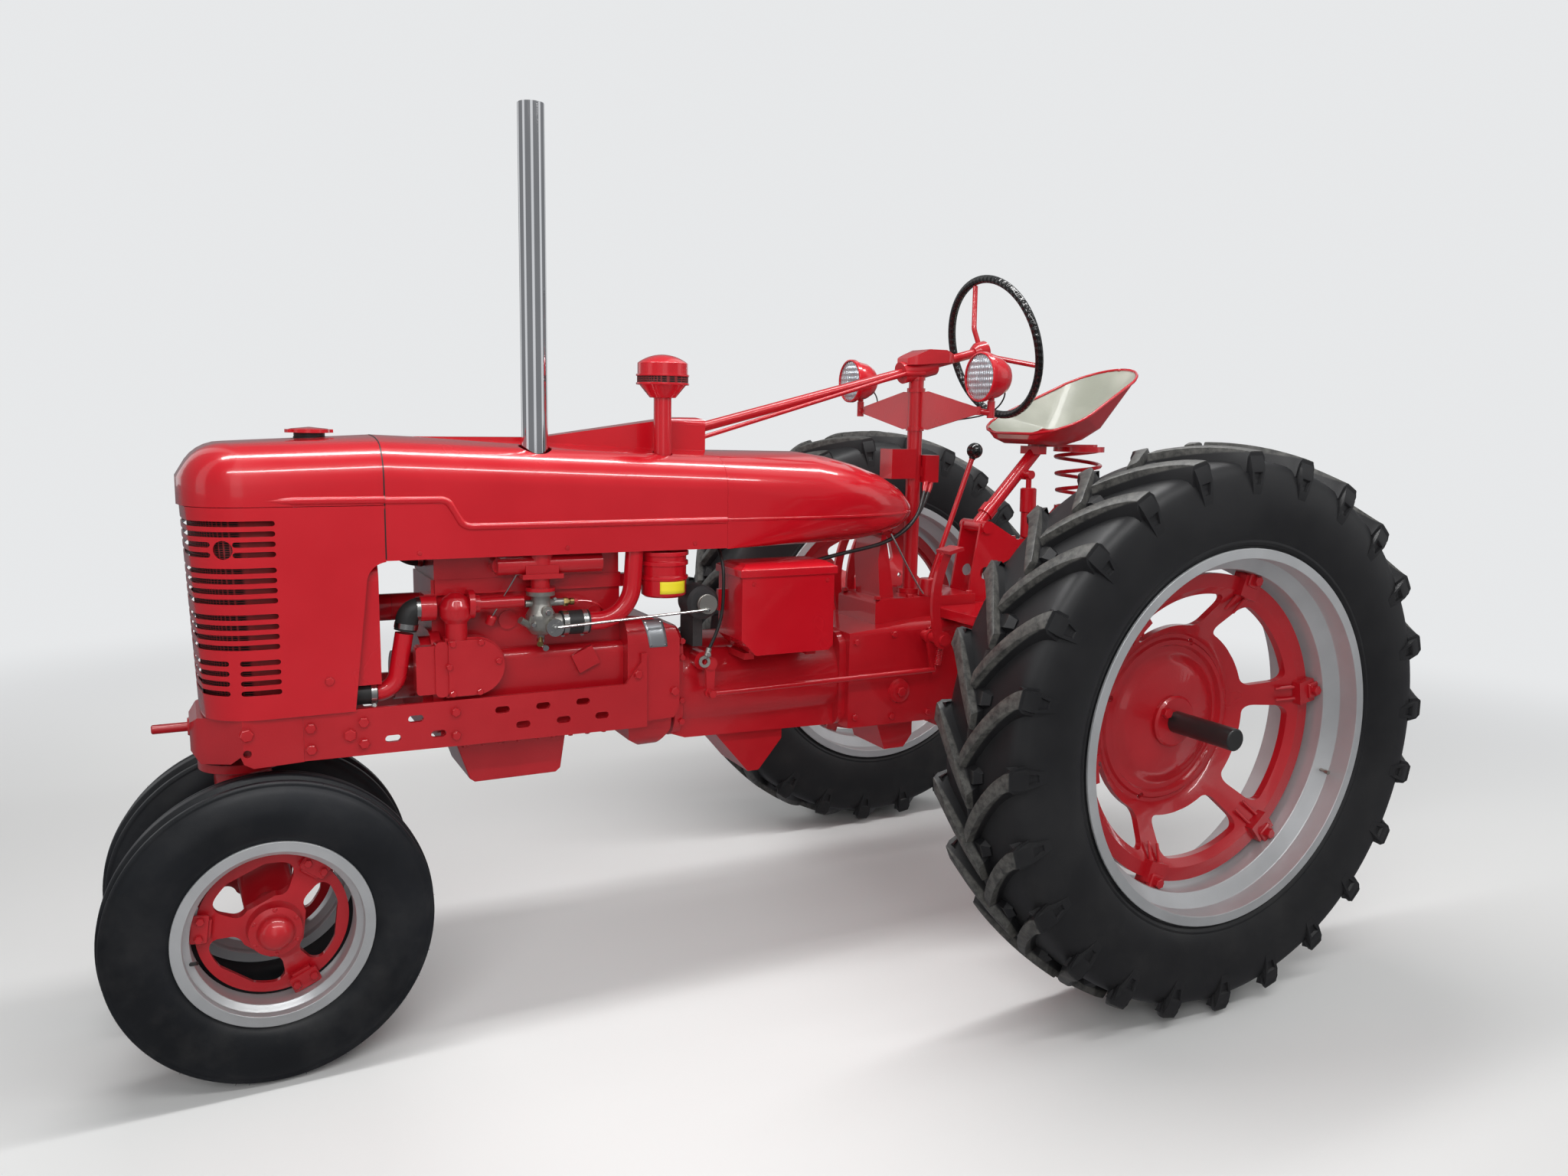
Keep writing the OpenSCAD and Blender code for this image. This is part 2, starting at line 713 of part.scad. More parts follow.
// The hood's crown falls a little from the nose to the tank
hood_rear_z = hood_top_z - 33;
hood_fall = atan((hood_top_z - hood_rear_z) / (split_x - tank_split_x));

function crown_z(x) = hood_top_z - (split_x - x) * tan(hood_fall);

module hood_form(inset, x0, x1, low_z) {
    intersection() {
        translate([split_x, 0, hood_top_z]) rotate([0, -hood_fall, 0]) translate([-split_x, 0, -hood_top_z])
            along_x(x0 - 60, x1 - x0 + 120) hood_2d(inset, hood_top_z, low_z - 70);
        side_plate(-hood_w, hood_w) translate([x0, low_z]) square([x1 - x0, 500]);
    }
}

// Hood: a bent sheet from the nose to the tank with a half-round moulding and a tunnel for the steering shaft
moulding_r = 9;
moulding_high_z = 1364;
moulding_low_z = 1298;
moulding_drop_x = split_x - 126;
stack_y = 125;
exhaust_x = 1597;
precleaner_x = 1253;

// The moulding drops from the nose's line to the tank's in two bends
module hood_moulding() {
    half = hood_w / 2;
    bend_r = 30;
    drop_a = 60;
    slant = (moulding_high_z - moulding_low_z - 2 * bend_r * (1 - cos(drop_a))) / sin(drop_a);
    drop_l = 2 * bend_r * sin(drop_a) + slant * cos(drop_a);
    high_l = split_x - seam - moulding_drop_x;
    low_l = moulding_drop_x - drop_l - tank_split_x - seam;
    difference() {
        translate([split_x - seam, half - 0.7, moulding_high_z]) rotate([0, -90, 0])
            pipe_run([[high_l, 180, bend_r, drop_a], [slant, 180, bend_r, drop_a], [low_l - pipe_lap]], moulding_r);
        translate([tank_split_x - 10, 0, moulding_low_z - 20]) cube([split_x - tank_split_x + 20, half - 1.5, 100]);
    }
}

module hood() {
    color(tractor_red) from_rear_axle() difference() {
        union() {
            difference() {
                hood_form(0, tank_split_x + seam, split_x - seam, hood_low_z);
                hood_form(sheet_t, tank_split_x - 5, split_x + 5, hood_low_z - 1);
            }
            shaft_cover(0);
            both_sides() hood_moulding();
        }
        intersection() {
            shaft_cover(sheet_t);
            translate([tank_split_x, -70, hood_rear_z - 40]) cube([400, 140, 140]);
        }
        translate([post_x, 0, shaft_z]) rotate([0, 90 + steer_tilt, 0]) cylinder(h = 800, r = shaft_r + 8);
        translate([exhaust_x, stack_y, 1300]) cylinder(h = 300, r = exhaust_r + 9);
        translate([precleaner_x, stack_y, 1300]) cylinder(h = 300, r = 27);
    }
}

// Raised cover over the steering shaft: high and blunt at the tank, running out in a low spine ahead
cover_front_x = 1560;
cover_h = 56;

module shaft_cover(inset) {
    top = hood_top_z + cover_h - inset;
    half = 52 - inset;
    sink = inset > 0 ? 30 : 2.5;
    rear_x = tank_split_x + seam + inset;
    spine_x = split_x - 40;
    intersection() {
        side_plate(-90, 90) polygon(concat([
            [rear_x, crown_z(rear_x) - sink], [rear_x, top - 6], [tank_split_x + 22, top], [tank_split_x + 70, top],
            [cover_front_x, crown_z(cover_front_x) + 13 - inset]
        ], [inset > 0 ? [cover_front_x + 1, crown_z(cover_front_x) - sink] : [spine_x, crown_z(spine_x) - sink]]));
        translate([0, 0, hood_rear_z - 60]) linear_extrude(240)
            polygon([[tank_split_x - 30, -half], [tank_split_x + 110, -half], [cover_front_x, inset - 34],
                [spine_x, -9], [spine_x, 9], [cover_front_x, 34 - inset], [tank_split_x + 110, half],
                [tank_split_x - 30, half]]);
        along_x(tank_split_x - 40, split_x - tank_split_x) {
            translate([-half, hood_rear_z - 60]) square([2 * half, top - 20 - hood_rear_z + 60]);
            translate([-half + 20, hood_rear_z - 60]) square([2 * half - 40, top - hood_rear_z + 60]);
            for (s = [-1, 1]) translate([s * (half - 20), top - 20]) circle(20 - ease);
        }
    }
}

// Fuel tank: a full, round-ended torpedo behind the hood, with a seam that stands out round its belt
tank_rear_x = 398;
belt_z = 1298;
// Sections to the tail: distance ahead, half width, top, bottom
TANK = [[800, 202, 1476, 1209], [715, 195, 1464, 1209], [630, 181, 1444, 1212], [550, 158, 1418, 1222],
    [480, 125, 1384, 1238], [430, 84, 1346, 1258], [404, 44, 1318, 1276]];

// Outline squarer than an ellipse
module tank_2d(half, tall) {
    n = 2.5;
    polygon([for (i = [0 : 35]) let (c = cos(i * 10), s = sin(i * 10))
        [sign(c) * tall * pow(abs(c), 2 / n), sign(s) * half * pow(abs(s), 2 / n)]]);
}

module fuel_tank() {
    half = hood_w / 2;
    color(tractor_red) from_rear_axle() {
        hull() {
            hood_form(0, tank_split_x - 2 - seam, tank_split_x - seam, hood_low_z - 2);
            for (t = TANK) translate([t[0], 0, (t[2] + t[3]) / 2]) rotate([0, 90, 0]) linear_extrude(1)
                tank_2d(t[1], (t[2] - t[3]) / 2);
        }
        translate([0, 0, belt_z - 3]) linear_extrude(6) polygon(concat(
            [[tank_split_x - seam, half + 3]], [for (t = TANK) [t[0], t[1] + 3]], [[tank_rear_x, 20]],
            [[tank_rear_x, -20]], [for (i = [len(TANK) - 1 : -1 : 0]) [TANK[i][0], -TANK[i][1] - 3]],
            [[tank_split_x - seam, -half - 3]]
        ));
    }
}

// Engine: block, head, sump and the pieces that hang on its open sides
// Round-cornered section for the cases that run along X: half width, bottom, top, corner radius
module case_2d(half, low, top, r) {
    translate([-half, low + r]) square([2 * half, top - low - 2 * r]);
    translate([-half + r, low]) square([2 * (half - r), top - low]);
    for (s = [-1, 1], z = [low + r, top - r]) translate([s * (half - r), z]) circle(r - ease);
}

block_rear_x = 1372;
crank_z = 905;
hose_top_z = 1096;

module engine_block() {
    block_l = block_front_x - block_rear_x;
    color(tractor_red) from_rear_axle() {
        translate([block_rear_x, -118, 960]) cube([block_l, 236, 200]);
        translate([block_rear_x, -128, 1122]) cube([block_l - 8, 256, 38]);
        along_x(block_rear_x, block_l - 10) case_2d(150, 752, 978, 26);
        // Timing case across the front
        along_x(block_front_x - 15, 24) case_2d(165, 770, 1034, 60);
        translate([block_front_x - 2, 150, hose_top_z]) rotate([0, 90, 0]) cylinder(h = 36, r = 31);
        translate([block_front_x - 12, 60, hose_top_z - 30]) cube([30, 68, 60]);
        along_x(block_front_x + 8, 24) case_2d(150, 784, 1018, 52);
        // Crank pulley boss and fan bearing
        translate([block_front_x + 29, 0, crank_z]) rotate([0, 90, 0]) cylinder(h = 50, r = 62);
        translate([block_front_x - 1, 0, fan_z]) rotate([0, 90, 0])
            cylinder(h = fan_x - 45 - seam - block_front_x + 1, r = 34);
        // Water jacket bosses between the cylinders
        for (i = [0 : 3]) translate([block_rear_x + 70 + i * 115, 117, 1050]) rotate([-90, 0, 0])
            cylinder(h = 8, r = 24);
        // Inspection cover and the oil filler's flange
        translate([1480, 149, 940]) rotate([-90, 25, 0]) translate([-30, -26, 0]) cube([60, 52, 16]);
    }
}

module cylinder_head() {
    color(tractor_red) from_rear_axle() {
        translate([block_rear_x + 6, -128, 1160.3]) cube([block_front_x - block_rear_x - 12, 256, 70]);
        along_x(block_rear_x + 20, block_front_x - block_rear_x - 60) case_2d(90, 1220, 1322, 30);
    }
}

module oil_pan() {
    color(tractor_red) from_rear_axle() {
        translate([1400, -140, 736]) cube([410, 280, 15.7]);
        side_plate(-112, 112) polygon([[1520, 737], [1806, 737], [1773, 640], [1760, 630], [1548, 630], [1535, 640]]);
    }
}

module governor_housing() {
    cover_x = block_front_x - 18;
    column_x = block_front_x - 48;
    tube_x = 1646;
    tube_z = 1104;
    color(tractor_red) from_rear_axle() {
        // D-shaped cover with its joint face, and the gear case ahead of it
        side_plate(150.3, 186) gear_cover_2d(0);
        side_plate(185, 200) gear_cover_2d(5);
        side_plate(165.3, 194) gear_case_2d(cover_x - 6, cover_x + 26, 880, 1018, 14);
        side_plate(150.3, 188) gear_case_2d(block_front_x + 32 + seam, block_front_x + 52, 888, 1008, 9);
        side_plate(165.3, 188) gear_case_2d(cover_x, block_front_x + 50, 888, 1008, 14);
        // Column, elbow and the tube to the carburettor's linkage
        translate([column_x, 172, 1000]) cylinder(h = 62, r = 27);
        translate([column_x, 172, 1060]) rotate_extrude() polygon([
            [0, 0], [27, 0], [38, 14], [40, 40], [30, 62], [12, 74], [0, 76]
        ]);
        translate([column_x - 42, 172, tube_z]) rotate([0, 90, 0]) cylinder(h = 14, r = 36);
        translate([tube_x, 174, tube_z]) rotate([0, 90, 0]) cylinder(h = column_x - 16 - tube_x, r = 15);
        translate([column_x - 56, 174, tube_z]) rotate([0, 90, 0]) cylinder(h = 15, r = 22);
    }
}

// Rounded outline between two places ahead and two heights
module gear_case_2d(x0, x1, z0, z1, r) {
    translate([x0, z0 + r]) square([x1 - x0, z1 - z0 - 2 * r]);
    translate([x0 + r, z0]) square([x1 - x0 - 2 * r, z1 - z0]);
    for (x = [x0 + r, x1 - r], z = [z0 + r, z1 - r]) translate([x, z]) circle(r - ease);
}

// Outline of the gear cover in the side view: flat at its front edge and round at its rear
module gear_cover_2d(inset) {
    r = 74 - inset;
    translate([block_front_x - 90, 950]) circle(r - ease);
    translate([block_front_x - 90, 950 - r]) square([72 - inset, 2 * r]);
}

module manifold() {
    z = 1195;
    color(tractor_red) from_rear_axle() {
        // Duct along the head with its three ports
        translate([1440, 164, z]) rotate([0, 90, 0]) cylinder(h = 270, r = 25);
        for (x = [1452, 1575, 1698]) translate([x, 128.3, z]) rotate([-90, 0, 0]) cylinder(h = 38, r = 22);
        translate([1548, 136, z - 34]) cube([104, 64, 12]);
        translate([1558, 142, z - 24]) cube([84, 50, 24]);
        // Riser down to the carburettor and up to the stack
        translate([1600, 170, 1132]) cylinder(h = 40, r = 24);
        translate([1600, 170, 1128]) cylinder(h = 9, r = 37);
        translate([exhaust_x, 162, z]) cylinder(h = 76, r = 32);
        translate([exhaust_x - 33, 93, 1262]) cube([66, 100, 14]);
    }
}

module carburettor() {
    x = 1600;
    y = 170;
    color(bare_metal) from_rear_axle() {
        translate([x, y, 1117]) cylinder(h = 10.7, r = 36);
        translate([x, y, 1006]) rotate_extrude() polygon([
            [0, 0], [10, 0], [10, 8], [24, 12], [36, 26], [38, 60], [30, 74], [24, 92], [24, 114], [0, 114]
        ]);
        // Air horn, throttle lever, drain and needle valve
        translate([1549.3, y + 2, 1042]) rotate([0, 90, 0]) cylinder(h = 50, r = 25);
        translate([x - 6, y, 1078]) rotate([-90, 0, 0]) cylinder(h = 44, r = 14);
        translate([x - 60, y, 1096]) rotate([0, 90, 0]) cylinder(h = 100, r = 9);
        translate([x + 8, y, 1026]) rotate([0, 58, 20]) cylinder(h = 62, r = 9);
        translate([x - 22, y + 30, 1040]) rotate([-90, 0, 0]) cylinder(h = 24, r = 21);
        // Throttle rod back to the bell crank
        bar([x - 22, y + 55, 1040], [crank_wheel_x + 2, y + 52, crank_wheel_z - 14], 3.5);
        throttle_crank();
    }
}

// Bell crank wheel behind the air cleaner, on a stub from the bell housing's top
crank_wheel_x = 1158;
crank_wheel_z = 1074;

module throttle_crank() {
    translate([crank_wheel_x, 205.3, crank_wheel_z]) rotate([-90, 0, 0]) rotate_extrude() polygon([
        [0, 0], [26, 0], [26, 5], [20, 8], [26, 11], [26, 16], [0, 16]
    ]);
}

// Starting motor: a round black body beside the clutch tunnel
module starting_motor() {
    color("#151517") from_rear_axle() {
        translate([crank_wheel_x, 113, crank_wheel_z]) rotate([-90, 0, 0]) rotate_extrude() polygon([
            [0, 0], [42, 0], [46, 6], [46, 70], [38, 78], [20, 80], [20, 92], [0, 92]
        ]);
        translate([crank_wheel_x - 14, 60, 947.6]) cube([28, 90, 92]);
    }
}

module intake_pipe() {
    color(tractor_red) from_rear_axle() {
        // From the air hose up into the hood
        translate([1494, 172, 1042]) rotate([0, -90, 0]) pipe_run([[44, 0, 95, 86], [118]], 24);
        // From the radiator's outlet up to the water pump's hose
        translate([radiator_x - 48, 150, 898]) rotate([0, -90, 0]) pipe_run([[14, 0, 50, 80], [103.4 - pipe_lap]], 22);
    }
}

module rubber_hoses() {
    color(rubber_black) from_rear_axle() {
        // Air hose at the carburettor
        translate([1549, 172, 1042]) rotate([0, -90, 0]) difference() {
            cylinder(h = 72, r = 31);
            translate([0, 0, 20]) cylinder(h = 74, r = 24.3);
        }
        // Top hose from the head to the radiator
        translate([block_front_x - 6 + seam, 0, 1205]) rotate([0, 90, 0])
            pipe_run([[10, 180, 60, 45], [128, 180, 60, 45], [7.2]], 24);
        // Bottom hose at the radiator's outlet
        translate([radiator_x - 10.3, 150, 898]) rotate([0, -90, 0]) difference() {
            cylinder(h = 50, r = 27);
            translate([0, 0, 36]) cylinder(h = 30, r = 22.3);
        }
        // Elbow at the water pump
        translate([block_front_x + 34 + seam, 150, hose_top_z]) rotate([0, 90, 0])
            pipe_run([[0, 0, 30, 80], [30 - pipe_lap]], 27);
    }
}

module air_cleaner() {
    top_z = hood_low_z - 6;
    color(tractor_red) from_rear_axle() {
        translate([1258, 150, 0]) rotate_extrude() polygon([
            [0, 1094], [52, 1094], [60, 1100], [61, 1140], [65, 1142], [65, 1150], [60, 1152], [60, 1178],
            [65, 1180], [65, 1190], [60, 1192], [60, top_z - 12], [66, top_z - 10], [66, top_z], [0, top_z]
        ]);
        translate([1296, 92, 1120]) cube([block_rear_x - seam - 1296, 26, 34]);
    }
}

module precleaner() {
    bowl_z = precleaner_top_z - 112;
    color(tractor_red) from_rear_axle() translate([precleaner_x, stack_y, 0]) {
        translate([0, 0, hood_low_z - 6 + seam]) cylinder(h = bowl_z - hood_low_z + 7, r = 23.5);
        translate([0, 0, bowl_z]) cylinder(h = 34, r1 = 34, r2 = precleaner_r - 4);
        translate([0, 0, bowl_z + 34]) cylinder(h = 30, r = precleaner_r);
        translate([0, 0, bowl_z + 64]) intersection() {
            translate([0, 0, -60]) sphere(r = 108);
            cylinder(h = 60, r = precleaner_r);
        }
    }
}

module exhaust_stack() {
    color("silver") from_rear_axle() translate([exhaust_x, stack_y, 0]) difference() {
        translate([0, 0, 1276.3]) cylinder(h = exhaust_top_z - 1276.3, r = exhaust_r);
        translate([0, 0, 1300]) cylinder(h = exhaust_top_z, r = exhaust_r - 2);
    }
}

fan_z = 1080;

module fan() {
    color("#7c1016") from_rear_axle() translate([fan_x, 0, fan_z]) rotate([0, 90, 0]) {
        translate([0, 0, -45]) cylinder(h = 62, r = 34);
        for (i = [0 : 3]) rotate(45 + i * 90) translate([20, -30, 0]) rotate([22, 0, 0]) cube([145, 60, 3]);
    }
}

module generator() {
    color(tractor_red) from_rear_axle() {
        translate([1640, -210, 1010]) rotate([0, 90, 0]) cylinder(h = 170, r = 52);
        translate([1660, -170, 980]) cube([120, 51.7, 40]);
        translate([1810, -210, 1010]) rotate([0, 90, 0]) cylinder(h = 36, r = 36);
    }
}

bell_rear_x = 1224;

module bell_housing() {
    color(tractor_red) from_rear_axle() {
        intersection() {
            side_plate(-183, 183) polygon([
                [block_rear_x - seam, 760], [block_rear_x - seam, 1044], [1300, 1038], [1235, 1012],
                [bell_rear_x + seam, 980], [bell_rear_x + seam, 790], [1240, 764]
            ]);
            along_x(1200, 200) case_2d(182.7, 700, 1046, 70);
        }
        // Flywheel bulge under the rails
        intersection() {
            side_plate(-150, 150) polygon([[1362, 762], [1352, 700], [1310, 672], [1262, 676], [1236, 720], [1232, 780],
                [1362, 780]]);
            along_x(1200, 200) case_2d(150, 668, 900, 80);
        }
    }
}

trans_top_z = 975;

tunnel_r = 145;
tunnel_z = 815;

module transmission_case() {
    joint_x = 683;
    color(tractor_red) from_rear_axle() {
        // Clutch tunnel: narrow at the middle and flared to both joints
        intersection() {
            side_plate(-150, 150) polygon([
                [bell_rear_x, 700], [bell_rear_x, 980], [1000, 962], [joint_x - 20, 950], [joint_x - 20, 671],
                [1181, 684]
            ]);
            along_x(600, 700) {
                translate([0, tunnel_z]) circle(tunnel_r);
                translate([-118, 640]) square([236, 200]);
            }
        }
        along_x(bell_rear_x - 24, 24) case_2d(150, 690, 1000, 70);
        translate([1140, 60, 905]) rotate([-90, 0, 0]) cylinder(h = 90, r = 26);
        along_x(joint_x - 10, 32) case_2d(150, 669, 953, 50);
        // Gear case, its top cover and its side bosses
        intersection() {
            side_plate(-170, 170) polygon([
                [joint_x, 668], [joint_x, 952], [384, trans_top_z], [180, trans_top_z], [180, 640], [380, 664]
            ]);
            along_x(100, 700) case_2d(169, 636, trans_top_z + 2, 34);
        }
        side_plate(-110, 110) polygon([[560, 950], [560, 1024], [540, 1036], [190, 1036], [190, 960]]);
        both_sides() translate([507, 165, 766]) rotate([-90, 0, 0]) rotate_extrude() polygon([
            [0, 0], [38, 0], [34, 14], [20, 18], [0, 18]
        ]);
        // Feet under the case
        side_plate(-90, 90) polygon([[1087, 690], [861, 690], [861, 640], [935, 552], [970, 552]]);
        side_plate(-90, 90) polygon([[542, 680], [400, 680], [400, 600], [430, 562], [500, 562]]);
        // Stand for the tank's rear and the cross bracket under the battery
        side_plate(-70, 70) polygon([[520, 1030], [530, 1150], [520, 1229], [505, 1229], [490, 1150], [470, 1030]]);
        for (x = [box_x + 30, box_x + box_l - 60]) translate([x, 60, box_z - seam - 18]) cube([30, 150, 18]);
    }
}

// Rear axle housing: the gear case with an axle carrier each side
housing_top_z = 1000;

module rear_axle_housing() {
    color(tractor_red) from_rear_axle() {
        side_plate(-205, 205) polygon([
            [179.5, 560], [179.5, housing_top_z], [-120, housing_top_z], [-205, 900], [-205, 600], [-140, 520], [90, 520]
        ]);
        both_sides() translate([0, 204, rear_axle_z]) rotate([-90, 0, 0]) rotate_extrude() difference() {
            polygon([
                [0, 0], [170, 0], [170, 26], [128, 30], [84, 250], [76, carrier_end_y - 260],
                [92, carrier_end_y - 250], [92, carrier_end_y - 204], [0, carrier_end_y - 204]
            ]);
            translate([0, carrier_end_y - 204 - 70]) square([rear_axle_r + seam, 80]);
        }
    }
}

// Battery box and its lid
box_x = 790;
box_l = 284;
box_y = 102;
box_w = 153;
box_z = 930;
box_h = 216;

module battery_box() {
    color(tractor_red) from_rear_axle() {
        difference() {
            intersection() {
                translate([box_x, box_y, box_z]) cube([box_l, box_w, box_h]);
                side_plate(box_y - 1, box_y + box_w + 1) polygon([
                    [box_x, box_z + box_h], [box_x, box_z + 14], [box_x + 14, box_z], [box_x + box_l - 44, box_z],
                    [box_x + box_l, box_z + 44], [box_x + box_l, box_z + box_h]
                ]);
            }
            translate([box_x + sheet_t, box_y + sheet_t, box_z + 50])
                cube([box_l - 2 * sheet_t, box_w - 2 * sheet_t, box_h]);
        }
        translate([box_x + box_l - 4, box_y + 20, 1040]) cube([20, 14, 60]);
    }
}

module battery_box_lid() {
    lid_z = box_z + box_h + seam;
    over = 7;
    color(tractor_red) from_rear_axle() hull() {
        translate([box_x - over, box_y - over, lid_z]) cube([box_l + 2 * over, box_w + 2 * over, 20]);
        translate([box_x + 18, box_y + 18, lid_z]) cube([box_l - 36, box_w - 36, 34]);
    }
}

// Steering post with the shaft's bearing and the lamp plates
post_x = 366;
shaft_r = 14;
shaft_z = 1729;
lamp_y = 326;
lamp_z = 1697;
plate_z = 1602;
// Lamps: side, distance ahead of the post
LAMPS = [[1, -38], [-1, 0]];

function shaft_height(x) = shaft_z + (post_x - x) * tan(steer_tilt);

module steering_post() {
    cap_top_z = 1787;
    color(tractor_red) from_rear_axle() {
        difference() {
            union() {
                // Tube with its foot and two collars at the plates
                translate([post_x, 0, 1036.3]) cylinder(h = shaft_z - 1036.3, r = post_r);
                translate([post_x, 0, 1036.3]) cylinder(h = 14, r = 40);
                for (z = [plate_z - 62, plate_z + 56]) translate([post_x, 0, z]) cylinder(h = 12, r = post_r + 5);
                translate([post_x, 0, plate_z + 92]) cylinder(h = 10, r = post_r + 4);
                // Bearing housing under a low cap
                translate([post_x, 0, shaft_z]) rotate([0, 90 + steer_tilt, 0])
                    cylinder(h = 120, r = 33, center = true);
                intersection() {
                    side_plate(-52, 52) polygon([
                        [244, 1757], [252, 1774], [290, cap_top_z], [352, cap_top_z], [420, 1758], [420, 1738],
                        [380, 1740], [250, 1752]
                    ]);
                    translate([334, 0, 1700]) linear_extrude(100) slot_2d(190, 96);
                }
            }
            translate([post_x, 0, shaft_z]) rotate([0, 90 + steer_tilt, 0])
                cylinder(h = 400, r = shaft_r + seam, center = true);
        }
        // Plates that carry the lamps
        both_sides() translate([post_x - 2, 0, plate_z]) rotate([90, 0, 90]) linear_extrude(4)
            polygon([[post_r - 2, -55], [post_r + 44, -58], [lamp_y - 24, -12], [lamp_y, -12], [lamp_y, 12],
                [lamp_y - 24, 12], [post_r + 44, 58], [post_r - 2, 55]]);
        for (l = LAMPS) {
            translate([post_x + l[1], l[0] * lamp_y, plate_z - 20]) cylinder(h = 48, r = 11);
            bar([post_x, l[0] * (lamp_y - 14), plate_z], [post_x + l[1], l[0] * lamp_y, plate_z - 6], 9);
        }
        // Instrument box between the tank and the post
        translate([post_x + 14, -34, 1394]) cube([88, 68, 90]);
        // Throttle rod beside the steering shaft
        bar([tank_split_x - 1.5, 30, 1514], [post_x + 62, 30, 1711], 6);
        bar([post_x + 62, 30, 1711], [post_x - 10, 26, 1716], 8);
        // Switch box behind the tank and the panel beside it
        translate([post_x - 70, -36, 1382]) cube([50, 72, 84]);
        translate([post_x - 30, -16, 1400]) cube([20, 32, 30]);
    }
}

module headlamps() {
    color(tractor_red) from_rear_axle() for (l = LAMPS) translate([post_x + 8 + l[1], l[0] * lamp_y, lamp_z]) {
        rotate([0, 90, 0]) rotate_extrude() polygon([
            [0, -62], [16, -62], [30, -56], [46, -42], [58, -20], [63, 6], [64, 22], [lamp_r, 24], [lamp_r, 38],
            [lamp_r - 5, 40], [lamp_r - 5, 26], [0, 26]
        ]);
        translate([-8, 0, -66.7]) cylinder(h = 20, r = 9);
    }
}

module headlamp_lenses() {
    color("white") from_rear_axle() for (l = LAMPS) translate([post_x + 8 + l[1], l[0] * lamp_y, lamp_z]) rotate([0, 90, 0])
        rotate_extrude() polygon([[0, 26.3], [lamp_r - 5.3, 26.3], [lamp_r - 5.3, 34], [lamp_r - 20, 39], [0, 43]]);
}

// Steering wheel, its spokes and the shaft that runs forward over the hood
wheel_x = 76;
wheel_dish = 52;

module steer_axis() {
    from_rear_axle() translate([wheel_x, 0, shaft_height(wheel_x)]) rotate([0, 90 + steer_tilt, 0]) children();
}

module steering_rim() {
    color(rubber_black) steer_axis() rotate_extrude($fn = 72) translate([steer_rim_r, 0]) circle(r = 12.5, $fn = 24);
}

module steering_spokes() {
    shaft_len = (tank_split_x + 100 - wheel_x) / cos(steer_tilt);
    spoke_r = 8;
    color(tractor_red) steer_axis() {
        rotate_extrude() polygon([
            [0, wheel_dish - 26], [18, wheel_dish - 26], [30, wheel_dish - 16], [30, wheel_dish + 14],
            [20, wheel_dish + 30], [shaft_r, wheel_dish + 32], [shaft_r, shaft_len], [0, shaft_len]
        ]);
        // Each spoke leaves the hub flat and bends back up to the rim
        for (a = [72, 192, 312]) rotate(a) {
            translate([20, 0, wheel_dish]) rotate([0, 90, 0])
                pipe_run([[46, 0, 40, 22], [130.6]], spoke_r);
        }
    }
}

// Seat: a pressed pan on a coil spring, carried by a tube that pivots ahead of it
spring_x = -300;
seat_low_z = 1503;

module seat_pan() {
    color("#d9d6cc") from_rear_axle() difference() {
        seat_bowl(0);
        seat_bowl(sheet_t);
    }
}

// The bowl's outer form, or with an inset its hollow: a tilted oval rim over a level bottom
module seat_bowl(inset) {
    rim_mid = [-228, 0, 1641];
    rim_tilt = 26;
    cut = inset > 0;
    // Level sections: height, middle's distance ahead, half length, half width
    levels = [[seat_low_z + inset, -132, 86, 108], [1519 + inset, -146, 124, 148], [1558, -178, 158, seat_w / 2 - 34]];
    hull() {
        translate(rim_mid) rotate([0, rim_tilt, 0]) translate([0, 0, cut ? -inset : -sheet_t])
            linear_extrude(cut ? 60 : sheet_t) seat_plan_2d(seat_l / 2 - inset, seat_w / 2 - inset);
        for (l = levels) translate([l[1], 0, l[0]]) linear_extrude(1) seat_plan_2d(l[2] - inset, l[3] - inset);
    }
}

// Broad at the front and rounder at the rear: half length, half width
module seat_plan_2d(half_l, half_w) {
    hull() {
        for (s = [-1, 1]) translate([half_l * 0.42, s * half_w * 0.48]) circle(half_w * 0.52, $fn = 48);
        translate([-half_l + half_w * 0.8, 0]) circle(half_w * 0.8, $fn = 64);
    }
}

module seat_frame() {
    pivot = [115, 0, 1238];
    head = [-116, 0, 1482];
    color(tractor_red) from_rear_axle() {
        // Two side plates on the housing with the pivot tube between them
        both_sides() side_plate(44, 52) difference() {
            polygon([
                [176, housing_top_z + seam], [168, 1060], [136, 1250], [96, 1256], [-12, 1196], [-84, 1196], [-84, 1176],
                [-30, 1150],
                [40, 1120], [60, housing_top_z + seam]
            ]);
            translate([110, 1090]) circle(20);
        }
        translate([pivot[0], 0, pivot[2]]) rotate([90, 0, 0]) cylinder(h = 128, r = 20, center = true);
        // Arm, swelling to its saddle, and the seat's support plate
        bar(pivot, head, 21);
        bar([82, 0, 1274], [60, 0, 1297], 27);
        translate([head[0] - 4, -48, head[2] - 12]) cube([30, 96, 26]);
        translate([-230, 0, seat_low_z - seam - 8]) linear_extrude(8) slot_2d(270, 96);
        translate([spring_x, 0, 1478]) cylinder(h = 18, r = 84);
        // Lug for the shock absorber
        translate([-62, -16, 1404]) rotate([-90, 0, 0]) cylinder(h = 38, r = 17);
        // Spring seat on the housing
        translate([spring_x, 0, 1288]) cylinder(h = 10, r = 72);
        side_plate(-40, 40) polygon([
            [-30, housing_top_z + seam], [-80, 1140], [spring_x + 60, 1289], [spring_x - 60, 1289],
            [spring_x - 60, 1270], [-118, housing_top_z + seam]
        ]);
    }
}

